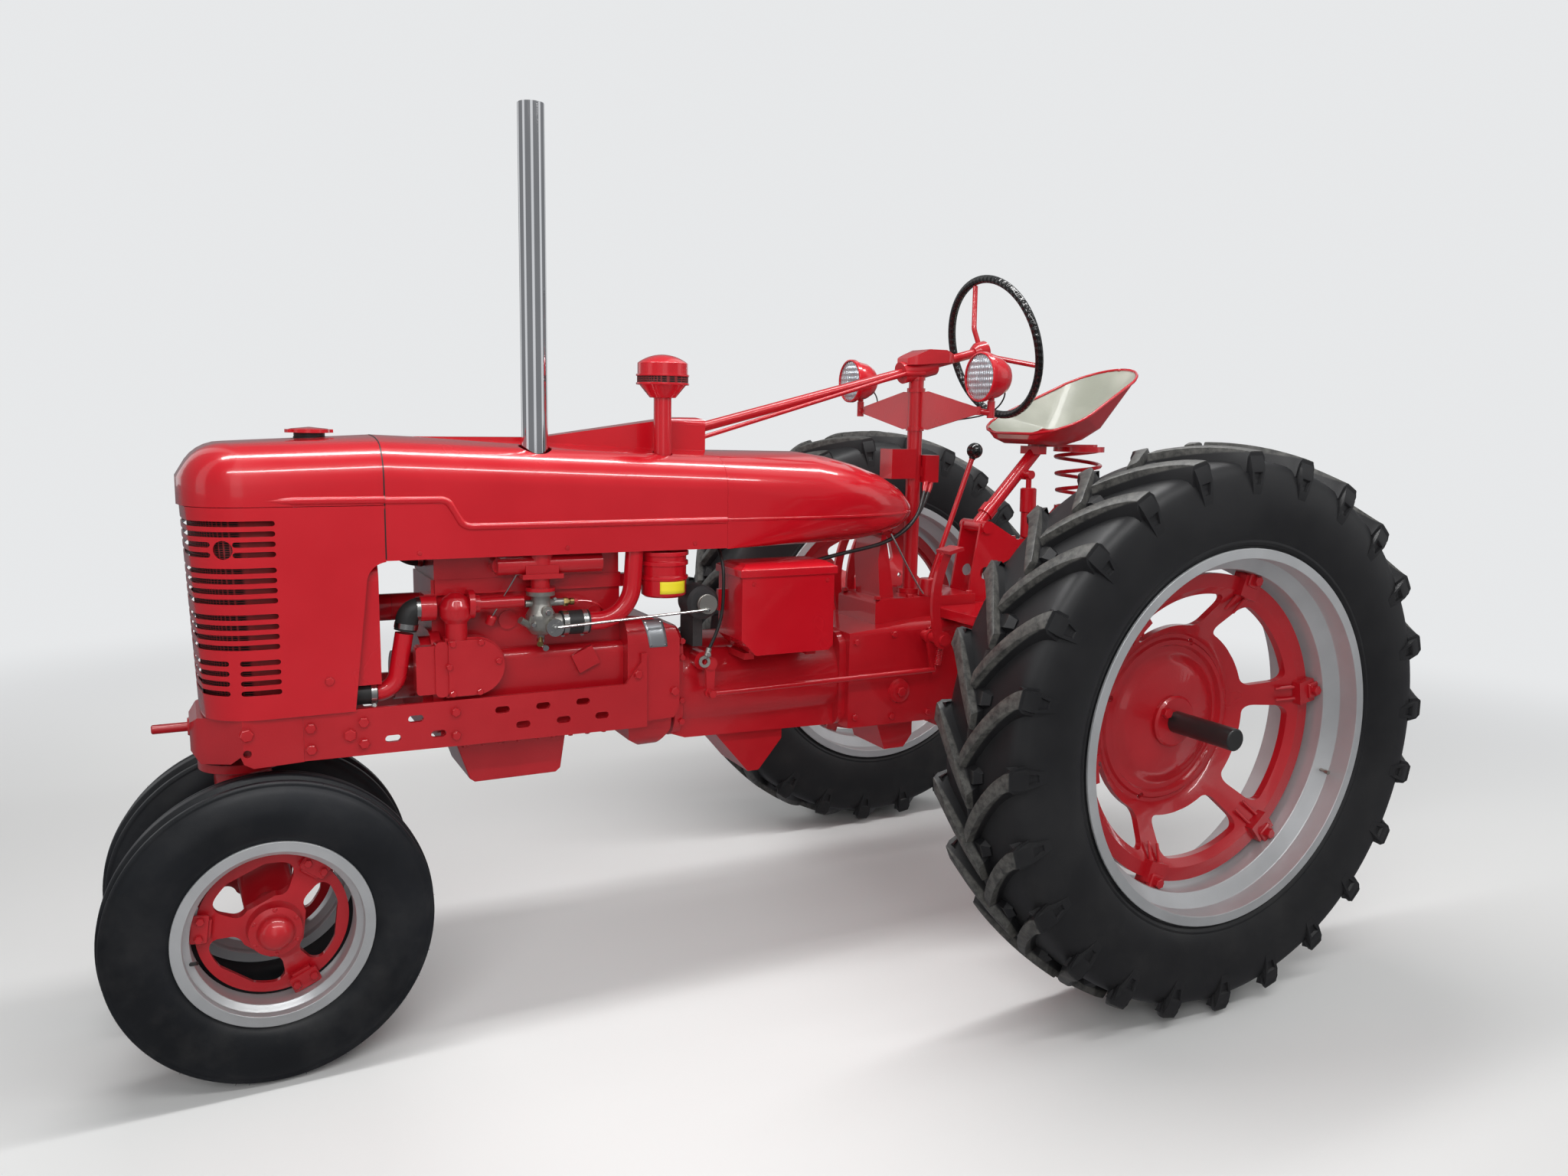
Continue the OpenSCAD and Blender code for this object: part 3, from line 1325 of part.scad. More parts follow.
module seat_spring() {
    turns = 3.2;
    low_z = 1298.3;
    height = 1478 - seam - low_z;
    low_r = 62;
    wire_r = 6.5;
    // A level cut through the wire is a long thin arc: half of its angle
    reach = wire_r * 360 * turns / height;
    color(tractor_red) from_rear_axle() translate([spring_x, 0, low_z])
        linear_extrude(height, twist = -360 * turns, scale = 1.22, slices = 56) polygon(concat(
            [for (k = [-5 : 5]) polar(low_r + wire_r * sqrt(1 - pow(k / 5, 2)), k / 5 * reach)],
            [for (k = [4 : -1 : -4]) polar(low_r - wire_r * sqrt(1 - pow(k / 5, 2)), k / 5 * reach)]
        ));
}

module seat_shock() {
    color(tractor_red) from_rear_axle() {
        low = [-66, 36, 1190];
        high = [-62, 36, 1404];
        d = high - low;
        translate(low) rotate([0, atan2(d[0], d[2]), 0]) {
            rotate_extrude() polygon([
                [0, 10], [20, 10], [22, 16], [22, 92], [26, 94], [26, 168], [20, 172], [9, 172], [9, norm(d)],
                [0, norm(d)]
            ]);
        }
        translate([high[0], 22.3, high[2]]) rotate([-90, 0, 0]) cylinder(h = 28, r = 14);
        translate([low[0], 14, low[2]]) rotate([-90, 0, 0]) cylinder(h = 29.7, r = 14);
    }
}

module gear_lever() {
    lever_foot = [350, 78, 1062];
    knob = [192, 78, 1482];
    d = knob - lever_foot;
    color(tractor_red) from_rear_axle() {
        translate([lever_foot[0], lever_foot[1], 1036.3]) cylinder(h = 52, r1 = 34, r2 = 26);
        translate(lever_foot) rotate([0, atan2(d[0], d[2]), 0]) rotate_extrude() {
            square([8, norm(d)]);
            intersection() {
                translate([0, norm(d)]) circle(r = 24);
                translate([0, norm(d) - 30]) square([30, 60]);
            }
        }
    }
}

module clutch_linkage() {
    color(tractor_red) from_rear_axle() {
        // Release shaft with its arm, and the long rod back to the pedal
        bar([1140, 150.3, 905], [1140, 206, 905], 15);
        side_plate(188, 200) arm_2d([1140, 905], [1140, 825], 20, 15);
        translate([0, 206, 0]) bar([1140, 0, 825], [405, 0, 830], 8);
        bar([1140, 187, 825], [1140, 218, 825], 10);
        pedal_arm(262);
        bar([pedal_x, 169 + seam, pedal_z], [pedal_x, 276, pedal_z], 16);
        side_plate(196, 210) arm_2d([pedal_x, pedal_z], [405, 830], 22, 14);
    }
}

// A flat arm between two round eyes in the side view
module arm_2d(a, b, ra, rb) {
    d = b - a;
    translate(a) circle(ra);
    translate(b) circle(rb);
    translate(a) rotate(atan2(d[1], d[0])) polygon([[0, -ra * 0.7], [norm(d), -rb * 0.7], [norm(d), rb * 0.7],
        [0, ra * 0.7]]);
}

// A pedal's curved arm with its foot pad
pedal_x = 420;
pedal_z = 931;

module pedal_arm(y) {
    bow_r = 330;
    side_plate(y - 6, y + 6) {
        intersection() {
            translate([pedal_x - 300, pedal_z + 110]) difference() {
                circle(bow_r + 14);
                circle(bow_r - 14);
            }
            translate([pedal_x - 40, pedal_z + 2]) square([90, 264]);
        }
        translate([pedal_x, pedal_z]) circle(26);
    }
    translate([pedal_x - 42, y - 34, pedal_z + 268]) rotate([0, 12, 0]) cube([52, 68, 10]);
}

module brake_pedals() {
    color(tractor_red) from_rear_axle() {
        bar([pedal_x, -169 - seam, pedal_z], [pedal_x, -330, pedal_z], 16);
        for (y = [-225, -310]) pedal_arm(y);
    }
}

module platform() {
    color(tractor_red) from_rear_axle() both_sides() {
        translate([40, 120, housing_top_z + seam]) cube([310, 200, 6]);
        translate([344, 120, housing_top_z + seam - 24]) cube([6, 200, 30]);
    }
}

drawbar_r = 13.5;

module drawbar() {
    color(tractor_red) from_rear_axle() difference() {
        union() {
            translate([-420, -38, 430]) cube([560, 76, 22]);
            translate([60, -38, 440]) cube([60, 76, 79.7]);
        }
        translate([-385, 0, 400]) cylinder(h = 100, r = drawbar_r);
    }
}

pto_r = 17.45;

module pto_shaft() {
    color(bare_metal) from_rear_axle() translate([-205.5, 0, 640]) rotate([0, -90, 0]) {
        cylinder(h = 90, r = pto_r);
        cylinder(h = 14, r = 40);
    }
}

front_bolster();
frame_rails();
radiator();
fan_shroud();
grille();
nose_cap();
radiator_cap();
hood();
fuel_tank();
engine_block();
cylinder_head();
oil_pan();
governor_housing();
manifold();
carburettor();
intake_pipe();
rubber_hoses();
starting_motor();
air_cleaner();
precleaner();
exhaust_stack();
fan();
generator();
bell_housing();
transmission_case();
rear_axle_housing();
battery_box();
battery_box_lid();
steering_post();
headlamps();
headlamp_lenses();
seat_pan();
seat_frame();
seat_spring();
seat_shock();
gear_lever();
clutch_linkage();
brake_pedals();
platform();
drawbar();
pto_shaft();
front_pedestal();
front_disc_left();
front_disc_right();
front_rim_left();
front_rim_right();
front_tyre_left();
front_tyre_right();
rear_disc_left();
rear_disc_right();
rear_rim_left();
rear_rim_right();
rear_tyre_left();
rear_tyre_right();
rear_axle_left();
rear_axle_right();
steering_rim();
steering_spokes();
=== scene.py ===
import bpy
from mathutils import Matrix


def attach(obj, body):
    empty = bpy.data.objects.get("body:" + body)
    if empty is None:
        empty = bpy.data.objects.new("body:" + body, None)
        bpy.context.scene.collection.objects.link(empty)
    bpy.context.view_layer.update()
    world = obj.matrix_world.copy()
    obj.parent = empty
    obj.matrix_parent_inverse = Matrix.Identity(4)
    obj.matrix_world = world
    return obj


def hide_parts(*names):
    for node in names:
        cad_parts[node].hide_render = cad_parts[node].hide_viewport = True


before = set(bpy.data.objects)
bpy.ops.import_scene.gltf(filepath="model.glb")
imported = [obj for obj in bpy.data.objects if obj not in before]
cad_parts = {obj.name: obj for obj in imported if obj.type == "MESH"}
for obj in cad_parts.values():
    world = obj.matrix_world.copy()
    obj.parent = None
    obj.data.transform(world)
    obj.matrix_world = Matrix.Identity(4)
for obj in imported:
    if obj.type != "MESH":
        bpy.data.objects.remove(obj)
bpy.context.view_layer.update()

# View and studio
# The eye stands ahead and to the left of the tractor at chest height, where the photograph was taken.
# A pale floor fades into a pale room under soft lamps: two long tubes above and a large lamp on three sides.
import math

import bmesh
import bpy
from mathutils import Matrix, Vector
from mathutils.bvhtree import BVHTree

REAR_AXLE_X = -0.925
IMAGE_W = 2048
FOCAL_PIXELS = 1510.04
EYE_AT = (2404.68, 3014.20, 1568.24)
YAW, PITCH, ROLL = -2.0564, 0.145, 0.0189
FLOOR_R = 40
FADE_FROM, FADE_TO = 2.3, 6.5
ROOM_TONE = (0.80, 0.81, 0.82, 1)
bpy.context.scene.view_settings.view_transform = "Standard"


def spot(x, y, z):
    """A place in millimetres, with x measured ahead of the rear axle, as metres in the frame."""
    return Vector((x / 1000 + REAR_AXLE_X, y / 1000, z / 1000))


def aim_camera():
    """Sets up the eye, turned by its yaw, pitch and roll in radians."""
    ahead = Vector((math.cos(YAW) * math.cos(PITCH), math.sin(YAW) * math.cos(PITCH), -math.sin(PITCH)))
    right = Vector((math.sin(YAW), -math.cos(YAW), 0))
    up = right.cross(ahead)
    level_right = right * math.cos(ROLL) + up * math.sin(ROLL)
    level_up = up * math.cos(ROLL) - right * math.sin(ROLL)
    eye = bpy.data.cameras.new("eye")
    eye.sensor_width = 36
    eye.lens = FOCAL_PIXELS / IMAGE_W * eye.sensor_width
    eye.clip_end = 200
    stand = bpy.data.objects.new("eye", eye)
    turn = Matrix((level_right, level_up, -ahead)).transposed()
    stand.matrix_world = Matrix.Translation(spot(*EYE_AT)) @ turn.to_4x4()
    bpy.context.scene.collection.objects.link(stand)
    bpy.context.scene.camera = stand


aim_camera()


def place(name, mesh):
    """Puts a mesh, or a lamp, into the scene under a name."""
    piece = bpy.data.objects.new(name, mesh)
    bpy.context.scene.collection.objects.link(piece)
    return piece


def add_node(tree, kind, inputs=None, **settings):
    """A shader node; each input, by name or number, takes a value or another node's output."""
    node = tree.nodes.new("ShaderNode" + kind)
    for label, setting in settings.items():
        setattr(node, label, setting)
    for label, value in (inputs or {}).items():
        if isinstance(value, bpy.types.NodeSocket):
            tree.links.new(value, node.inputs[label])
        else:
            node.inputs[label].default_value = value
    return node


def object_place(tree):
    """The place of each point in the frame, in metres, which moves with its piece."""
    return add_node(tree, "TexCoord").outputs["Object"]


def reckon(tree, operation, *values):
    """One step of arithmetic on numbers or other nodes' values."""
    return add_node(tree, "Math", dict(enumerate(values)), operation=operation).outputs[0]


def span(tree, value, from_min, from_max, to_min=0.0, to_max=1.0, curve="LINEAR"):
    """Carries a value from one range over to another, and holds it at the ends."""
    ends = {"Value": value, "From Min": from_min, "From Max": from_max, "To Min": to_min, "To Max": to_max}
    return add_node(tree, "MapRange", ends, interpolation_type=curve).outputs["Result"]


def mix_shaders(tree, share, first, second):
    return add_node(tree, "MixShader", {"Fac": share, 1: first.outputs[0], 2: second.outputs[0]})


def lay_floor():
    bm = bmesh.new()
    bmesh.ops.create_circle(bm, cap_ends=True, segments=96, radius=FLOOR_R)
    mesh = bpy.data.meshes.new("floor")
    bm.to_mesh(mesh)
    bm.free()
    pale = bpy.data.materials.new("pale_floor")
    pale.use_nodes = True
    tree = pale.node_tree
    ground = tree.nodes["Principled BSDF"]
    ground.inputs["Base Color"].default_value = (0.78, 0.78, 0.77, 1)
    ground.inputs["Roughness"].default_value = 0.55
    ground.inputs["Specular IOR Level"].default_value = 0.15
    away = add_node(tree, "VectorMath", {0: object_place(tree)}, operation="LENGTH").outputs["Value"]
    fade = span(tree, away, FADE_FROM, FADE_TO, curve="SMOOTHSTEP")
    seen = mix_shaders(tree, fade, ground, add_node(tree, "Emission", {"Color": ROOM_TONE}))
    # Reflections see a darker ground, as in a workshop, so the enamel keeps its depth
    dim = add_node(tree, "Emission", {"Color": (0.15, 0.15, 0.16, 1)})
    both = mix_shaders(tree, add_node(tree, "LightPath").outputs["Is Glossy Ray"], seen, dim)
    tree.links.new(both.outputs[0], tree.nodes["Material Output"].inputs["Surface"])
    mesh.materials.append(pale)
    place("floor", mesh)


lay_floor()


def build_room():
    """A soft even glow that lights the tractor, and a pale wall that the eye sees."""
    room = bpy.data.worlds.new("studio")
    bpy.context.scene.world = room
    room.use_nodes = True
    tree = room.node_tree
    tree.nodes.clear()
    soft = add_node(tree, "Background", {"Color": (0.95, 0.97, 1.0, 1), "Strength": 0.23})
    wall = add_node(tree, "Background", {"Color": ROOM_TONE, "Strength": 1.0})
    path = add_node(tree, "LightPath").outputs
    # Reflections see five tall windows round the room, so polished metal shows bright and dark bands
    around = add_node(tree, "SeparateXYZ", {0: add_node(tree, "TexCoord").outputs["Generated"]}).outputs
    windows, first_at = 5.0, 0.9
    turn = reckon(tree, "ARCTAN2", around["Y"], around["X"])
    swing = reckon(tree, "SINE", reckon(tree, "MULTIPLY_ADD", turn, windows, first_at))
    mirrored = reckon(tree, "MULTIPLY", path["Is Glossy Ray"], span(tree, swing, 0.45, 0.75, 0.0, 0.9))
    direct = reckon(tree, "MAXIMUM", path["Is Camera Ray"], mirrored)
    share = reckon(tree, "MAXIMUM", direct, path["Is Transmission Ray"])
    add_node(tree, "OutputWorld", {"Surface": mix_shaders(tree, share, soft, wall).outputs[0]})


build_room()


def hang_lamps():
    # Name, watts, width, depth, place, point it shines at, shows in reflections
    lamps = [
        ("tube_lamp", 70, 4.2, 0.25, (0.1, 0.25, 3.4), (0.1, 0, 0.8), True),
        ("side_tube_lamp", 45, 4.4, 0.16, (0.4, 2.5, 3.3), (0.2, 0, 0.9), True),
        ("left_lamp", 98, 3.0, 2.2, (2.6, 4.4, 2.9), (0, 0, 0.9), False),
        ("right_lamp", 85, 3.0, 2.2, (0.6, -4.6, 2.8), (0, 0, 0.9), False),
        ("rear_lamp", 65, 2.6, 2.0, (-4.8, 1.6, 2.6), (0, 0, 1.0), False),
    ]
    for name, watts, wide, deep, at, target, shows in lamps:
        lamp = bpy.data.lights.new(name, "AREA")
        lamp.shape = "RECTANGLE"
        lamp.size = wide
        lamp.size_y = deep
        lamp.energy = watts
        stand = place(name, lamp)
        aim = (Vector(target) - Vector(at)).to_track_quat("-Z", "Y")
        stand.matrix_world = Matrix.Translation(at) @ aim.to_matrix().to_4x4()
        stand.visible_glossy = shows


hang_lamps()

# Paint
# All castings and pressings are sprayed with one thick, glossy red enamel. Under the paint, castings keep
# the grain of the sand mould, and pressings are smooth with a trace of orange peel.


def effect(name, inputs, outputs):
    """A shader node group with float inputs and outputs: the group, what it is given and what it puts out."""
    group = bpy.data.node_groups.new(name, "ShaderNodeTree")
    for label, value in inputs.items():
        socket = group.interface.new_socket(label, in_out="INPUT", socket_type="NodeSocketFloat")
        socket.default_value = value
    for label in outputs:
        group.interface.new_socket(label, in_out="OUTPUT", socket_type="NodeSocketFloat")
    return group, group.nodes.new("NodeGroupInput").outputs, group.nodes.new("NodeGroupOutput").inputs


def noise_in(tree, at, scale, detail, rough=0.5):
    """Soft grain from 0 to 1, with about as many grains a metre as its scale."""
    settings = {"Vector": at, "Scale": scale, "Detail": detail, "Roughness": rough}
    return add_node(tree, "TexNoise", settings).outputs["Fac"]


def build_skin():
    """Grain of a surface in the part's own place: fine bumps on broad waves, and slow patches of tone."""
    group, given, out = effect("surface_skin", {"Grain": 220.0, "Depth": 1.0}, ("Height", "Patches"))
    at = object_place(group)
    fine = noise_in(group, at, given["Grain"], detail=3, rough=0.6)
    waves = noise_in(group, at, scale=14, detail=2)
    wave_share = 0.6
    deep = reckon(group, "MULTIPLY", fine, given["Depth"])
    group.links.new(reckon(group, "MULTIPLY_ADD", waves, wave_share, deep), out["Height"])
    group.links.new(noise_in(group, at, scale=3.5, detail=3, rough=0.6), out["Patches"])
    return group


surface_skin = build_skin()


def build_dust():
    """Dust that settles low down and in patches: 0 is clean."""
    group, given, out = effect("settled_dust", {"Amount": 0.3, "Top": 0.9}, ("Mask",))
    at = object_place(group)
    height = add_node(group, "SeparateXYZ", {0: at}).outputs["Z"]
    low = span(group, height, 0.0, given["Top"], 1.0, 0.25)
    patches = span(group, noise_in(group, at, scale=9, detail=5, rough=0.65), 0.45, 0.75)
    settled = reckon(group, "MULTIPLY", low, patches)
    group.links.new(reckon(group, "MULTIPLY", settled, given["Amount"]), out["Mask"])
    return group


settled_dust = build_dust()


def use_effect(tree, group, **values):
    """Puts a group into a material with its own values, and gives what it puts out."""
    return add_node(tree, "Group", values, node_tree=group).outputs


def blend_colours(tree, share, low, high):
    """Mixes two colours, each a tuple or another node's output."""
    low, high = ((*colour, 1) if isinstance(colour, tuple) else colour for colour in (low, high))
    return add_node(tree, "Mix", {"Factor": share, 6: low, 7: high}, data_type="RGBA").outputs[2]


def raise_relief(tree, height, strength, distance=0.002, over_first=False):
    """Raises a relief on a finish, in place of its first one or over it."""
    normal = tree.nodes["Principled BSDF"].inputs["Normal"]
    relief = add_node(tree, "Bump", {"Height": height, "Strength": strength, "Distance": distance})
    if over_first:
        tree.links.new(normal.links[0].from_socket, relief.inputs["Normal"])
    tree.links.new(relief.outputs["Normal"], normal)


def surface(name, low, high, rough, grain=220.0, depth=1.0, bump=0.05, metal=0.0, coat=0.0, dust=0.0,
            dust_colour=(0.20, 0.16, 0.12), specular=0.5):
    """A finish with two tones, a range of roughness, a skin and some settled dust."""
    made = bpy.data.materials.new(name)
    made.use_nodes = True
    tree = made.node_tree
    body = tree.nodes["Principled BSDF"].inputs
    skin = use_effect(tree, surface_skin, Grain=grain, Depth=depth)
    tone = blend_colours(tree, span(tree, skin["Patches"], 0.35, 0.65), low, high)
    if dust:
        tone = blend_colours(tree, use_effect(tree, settled_dust, Amount=dust)["Mask"], tone, dust_colour)
    tree.links.new(tone, body["Base Color"])
    tree.links.new(span(tree, skin["Patches"], 0.3, 0.7, *rough), body["Roughness"])
    body["Metallic"].default_value = metal
    body["Coat Weight"].default_value = coat
    body["Coat Roughness"].default_value = 0.05
    body["Specular IOR Level"].default_value = specular
    raise_relief(tree, skin["Height"], bump)
    return made


red_sheet = surface("red_enamel_on_sheet", (0.46, 0.0040, 0.011), (0.50, 0.0050, 0.013), (0.20, 0.28),
                    grain=60, depth=0.15, bump=0.02, coat=0.9)
red_cast = surface("red_enamel_on_casting", (0.38, 0.0035, 0.009), (0.44, 0.0045, 0.011), (0.26, 0.40),
                   grain=170, bump=0.18, coat=0.8, dust=0.04)


def smooth_edges(piece, width, angle):
    """Rounds the sharp edges of a solid a little and shades it smooth."""
    for face in piece.data.polygons:
        face.use_smooth = True
    close = piece.modifiers.new("close", "WELD")
    close.merge_threshold = 0.00002
    # A wider angle than this one would leave wrong faces where the bevel meets a curve
    merge = piece.modifiers.new("merge_flat", "DECIMATE")
    merge.decimate_type = "DISSOLVE"
    merge.angle_limit = math.radians(0.1)
    round_off = piece.modifiers.new("round_off", "BEVEL")
    round_off.width = width
    round_off.segments = 2
    round_off.limit_method = "ANGLE"
    round_off.angle_limit = math.radians(angle)
    round_off.harden_normals = False
    flat = piece.modifiers.new("flat_faces", "WEIGHTED_NORMAL")
    flat.keep_sharp = True


def dress(material, width, *names, angle=38):
    """Gives nodes of the frame a finish, and rounds their edges over an angle by a width in metres."""
    for name in names:
        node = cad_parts[name]
        node.data.materials.clear()
        node.data.materials.append(material)
        if width:
            smooth_edges(node, width, angle)


dress(red_sheet, 0.0015, "hood", "nose_cap", "grille", "fuel_tank", "radiator_cap", "battery_box_lid",
      "fan_shroud", "battery_box", "platform", "precleaner", "air_cleaner", "intake_pipe", "headlamps",
      "seat_frame", "fan")
dress(red_cast, 0.001, "engine_block")
dress(red_cast, 0.003, "front_bolster", "cylinder_head", "oil_pan", "governor_housing", "manifold",
      "generator", "bell_housing", "transmission_case", "rear_axle_housing", "frame_rails", "front_pedestal")
dress(red_cast, 0, "seat_spring")
dress(red_cast, 0.002, "steering_post", "seat_shock", "gear_lever", "clutch_linkage", "brake_pedals",
      "drawbar", "steering_spokes", "front_disc_left", "front_disc_right", "rear_disc_left",
      "rear_disc_right")

# Rear wheels
# Rolled silver rims carry the tyres, and cast red centres are clamped to them at six lugs with a bolt each.
# The hub grips the black axle shaft. Hex heads and washers are painted over with the castings.
REAR_AXLE_Z = 765
REAR_MID_Y = 841.5
REAR_CLAMPS, REAR_CLAMP_START = 6, 50
REAR_CLAMP_R, REAR_CLAMP_OUT, REAR_CLAMP_THICK = 424, 32, 17
HUB_STUD_R, HUB_STUD_OUT = 52, -60
REAR_VALVE_R, REAR_VALVE_ANGLE, REAR_VALVE_OUT = 452, 199.4, 92
rim_silver = surface("silver_rim_paint", (0.50, 0.51, 0.52), (0.60, 0.61, 0.62), (0.30, 0.42), grain=500,
                     depth=0.3, bump=0.05, metal=0.55, dust=0.12)
dress(rim_silver, 0.002, "rear_rim_left", "rear_rim_right", "front_rim_left", "front_rim_right", angle=25)
black_steel = surface("black_steel", (0.012, 0.012, 0.013), (0.02, 0.02, 0.02), (0.25, 0.4), bump=0.05,
                      coat=0.3)
dress(black_steel, 0.001, "rear_axle_left", "rear_axle_right")
valve_metal = surface("valve_metal", (0.30, 0.28, 0.25), (0.40, 0.38, 0.34), (0.3, 0.5), bump=0.1, metal=0.9)
LEFT = (0, 1, 0)


def facing(x, y, z, along=LEFT, spin=0.0):
    """A seat for a small part: its Z runs out along a direction from a place in millimetres."""
    turn = Vector(along).to_track_quat("Z", "Y").to_matrix().to_4x4()
    return Matrix.Translation(spot(x, y, z)) @ turn @ Matrix.Rotation(math.radians(spin), 4, "Z")


def from_seat(seat, x, y, z):
    """A place in millimetres from a seat, as metres in the frame."""
    return seat @ Vector((x / 1000, y / 1000, z / 1000))


def shifted(seat, x, y, z):
    """A seat moved by millimetres along its own axes."""
    return seat @ Matrix.Translation((x / 1000, y / 1000, z / 1000))


def bridge(bm, low, high):
    """Joins two closed rings of points, one for one."""
    for i in range(len(low)):
        j = (i + 1) % len(low)
        bm.faces.new((low[i], low[j], high[j], high[i]))


def turned(bm, seat, profile, steps):
    """Turns a profile of (radius, height) in millimetres about a seat's Z."""
    rings = []
    for radius, height in profile:
        angles = [math.radians(360 * i / steps) for i in range(steps)] if radius else [0]
        rings.append([bm.verts.new(from_seat(seat, radius * math.cos(a), radius * math.sin(a), height))
                      for a in angles])
    for low, high in zip(rings, rings[1:]):
        if len(low) == len(high):
            bridge(bm, low, high)
            continue
        for i in range(steps):
            j = (i + 1) % steps
            bm.faces.new((low[0], high[j], high[i]) if len(low) == 1 else (low[i], low[j], high[0]))


def hex_head(bm, seat, across, thick, washer=True):
    """A bolt head, sized across its flats: a washer, six flats and a chamfered top."""
    base = 0.0
    if washer:
        washer_r = across * 0.62
        turned(bm, seat, [(0, -0.5), (washer_r, -0.5), (washer_r, 1.4), (0, 1.5)], 16)
        base = 1.2
    r = across / math.sqrt(3)
    turned(bm, seat, [(0, base - 0.5), (r, base - 0.5), (r, base + thick * 0.82), (r * 0.86, base + thick),
                      (0, base + thick + 0.3)], 6)


def drawn_tube(bm, line, radius, sides=10, capped=True):
    """A round bar or wire along a line of places in metres; radius in millimetres or one for each place."""
    radii = radius if isinstance(radius, list) else [radius] * len(line)
    across = None
    rings = []
    for i, middle in enumerate(line):
        ahead = (line[min(i + 1, len(line) - 1)] - line[max(i - 1, 0)]).normalized()
        if across is None:
            across = ahead.orthogonal().normalized()
        across = (across - ahead * across.dot(ahead)).normalized()
        side = ahead.cross(across)
        rings.append([bm.verts.new(middle + (across * math.cos(t) + side * math.sin(t)) * radii[i] / 1000)
                      for t in [2 * math.pi * k / sides for k in range(sides)]])
    for low, high in zip(rings, rings[1:]):
        bridge(bm, low, high)
    if capped:
        bm.faces.new(list(reversed(rings[0])))
        bm.faces.new(rings[-1])


def pressed(bm, seat, outline, thick, bevel):
    """A flat plate cut to an outline in millimetres in the seat's plane, with its top edge bevelled."""
    middle = Vector((sum(p[0] for p in outline), sum(p[1] for p in outline))) / len(outline)
    rings = []
    for height, shrink in ((0.0, 0.0), (thick - bevel, 0.0), (thick, bevel)):
        ring = []
        for p in outline:
            q = Vector(p)
            q -= (q - middle).normalized() * shrink
            ring.append(bm.verts.new(from_seat(seat, q.x, q.y, height)))
        rings.append(ring)
    for low, high in zip(rings, rings[1:]):
        bridge(bm, low, high)
    bm.faces.new(list(reversed(rings[0])))
    bm.faces.new(rings[-1])


def rounded_box(wide, tall, corner):
    """Outline of a rectangle with round corners, about its middle."""
    steps = 5
    outline = []
    for k, (sx, sy) in enumerate(((1, 1), (-1, 1), (-1, -1), (1, -1))):
        for i in range(steps + 1):
            a = math.radians(90 * (k + i / steps))
            outline.append((sx * (wide / 2 - corner) + corner * math.cos(a),
                            sy * (tall / 2 - corner) + corner * math.sin(a)))
    return outline


def seal(bm, name, material, body="chassis", sharp=35):
    """Closes a mesh into a piece with its finish, smooth but for its edges, that moves with a body."""
    bmesh.ops.recalc_face_normals(bm, faces=bm.faces)
    for face in bm.faces:
        face.smooth = True
    for edge in bm.edges:
        if len(edge.link_faces) == 2 and edge.calc_face_angle() > math.radians(sharp):
            edge.smooth = False
    mesh = bpy.data.meshes.new(name)
    bm.to_mesh(mesh)
    bm.free()
    mesh.materials.append(material)
    piece = place(name, mesh)
    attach(piece, body)
    return piece


def rear_place(side, radius, angle, out):
    """A place on a rear wheel, so far out from the middle of its tread."""
    a = math.radians(angle)
    return radius * math.cos(a), side * (REAR_MID_Y + out), REAR_AXLE_Z + radius * math.sin(a)


def build_rear_clamps(side, name):
    outward = (0, side, 0)
    bm = bmesh.new()
    for i in range(REAR_CLAMPS):
        angle = REAR_CLAMP_START + 360 / REAR_CLAMPS * i
        a = math.radians(angle)
        # A wedge block lies over the lug, turned to the radius, with a hex bolt through it
        seat = facing(*rear_place(side, REAR_CLAMP_R, angle, REAR_CLAMP_OUT), outward)
        flat = seat.to_3x3().inverted() @ Vector((math.cos(a), 0, math.sin(a)))
        seat = seat @ Matrix.Rotation(math.atan2(flat.y, flat.x), 4, "Z")
        pressed(bm, seat, rounded_box(40, 44, 6), REAR_CLAMP_THICK, 3)
        hex_head(bm, shifted(seat, 0, 0, REAR_CLAMP_THICK), 24, 12)
        # Two ribs run in from the clamp along the spoke and thin out
        for shift in (-17, 17):
            line = [from_seat(seat, -24 - 14 * k, shift, 2 - 8 * k) for k in range(6)]
            drawn_tube(bm, line, [6, 6, 5.5, 5, 4.5, 4], 8)
    for angle in (35, 215):
        hex_head(bm, facing(*rear_place(side, HUB_STUD_R, angle, HUB_STUD_OUT), outward, 10), 26, 14)
    seal(bm, "rear_clamps_" + name, red_cast, "rear_wheel_" + name)


def build_rear_valve(side, name):
    bm = bmesh.new()
    lean = (math.cos(math.radians(REAR_VALVE_ANGLE - 180)) * 0.5, side * 0.86, 0.1)
    turned(bm, facing(*rear_place(side, REAR_VALVE_R, REAR_VALVE_ANGLE, REAR_VALVE_OUT), lean),
           [(0, -14), (4.5, -14), (4.5, 14), (6, 15), (6, 30), (4, 33), (0, 33)], 12)
    seal(bm, "rear_valve_" + name, valve_metal, "rear_wheel_" + name)


SIDES = ((1, "left"), (-1, "right"))
for side, name in SIDES:
    build_rear_clamps(side, name)
    build_rear_valve(side, name)

# Front wheels
# Smaller rims with three-spoke cast centres: each spoke ends in a square clamp pad with two bolts.
# The hub's domed cap keeps the bearing grease in.
FRONT_AXLE_X = 2250
FRONT_AXLE_Z = 365.3
FRONT_MID_Y = 178
CAMBER = 2.0
FRONT_SPOKES, FRONT_CLAMP_START = 3, 7
FRONT_CLAMP_R, FRONT_CLAMP_OUT, FRONT_CLAMP_THICK = 159, -3, 9
CAP_SCREWS, CAP_SCREW_R, CAP_SCREW_OUT = 6, 52, 40
FRONT_VALVE_ANGLE = 345.6


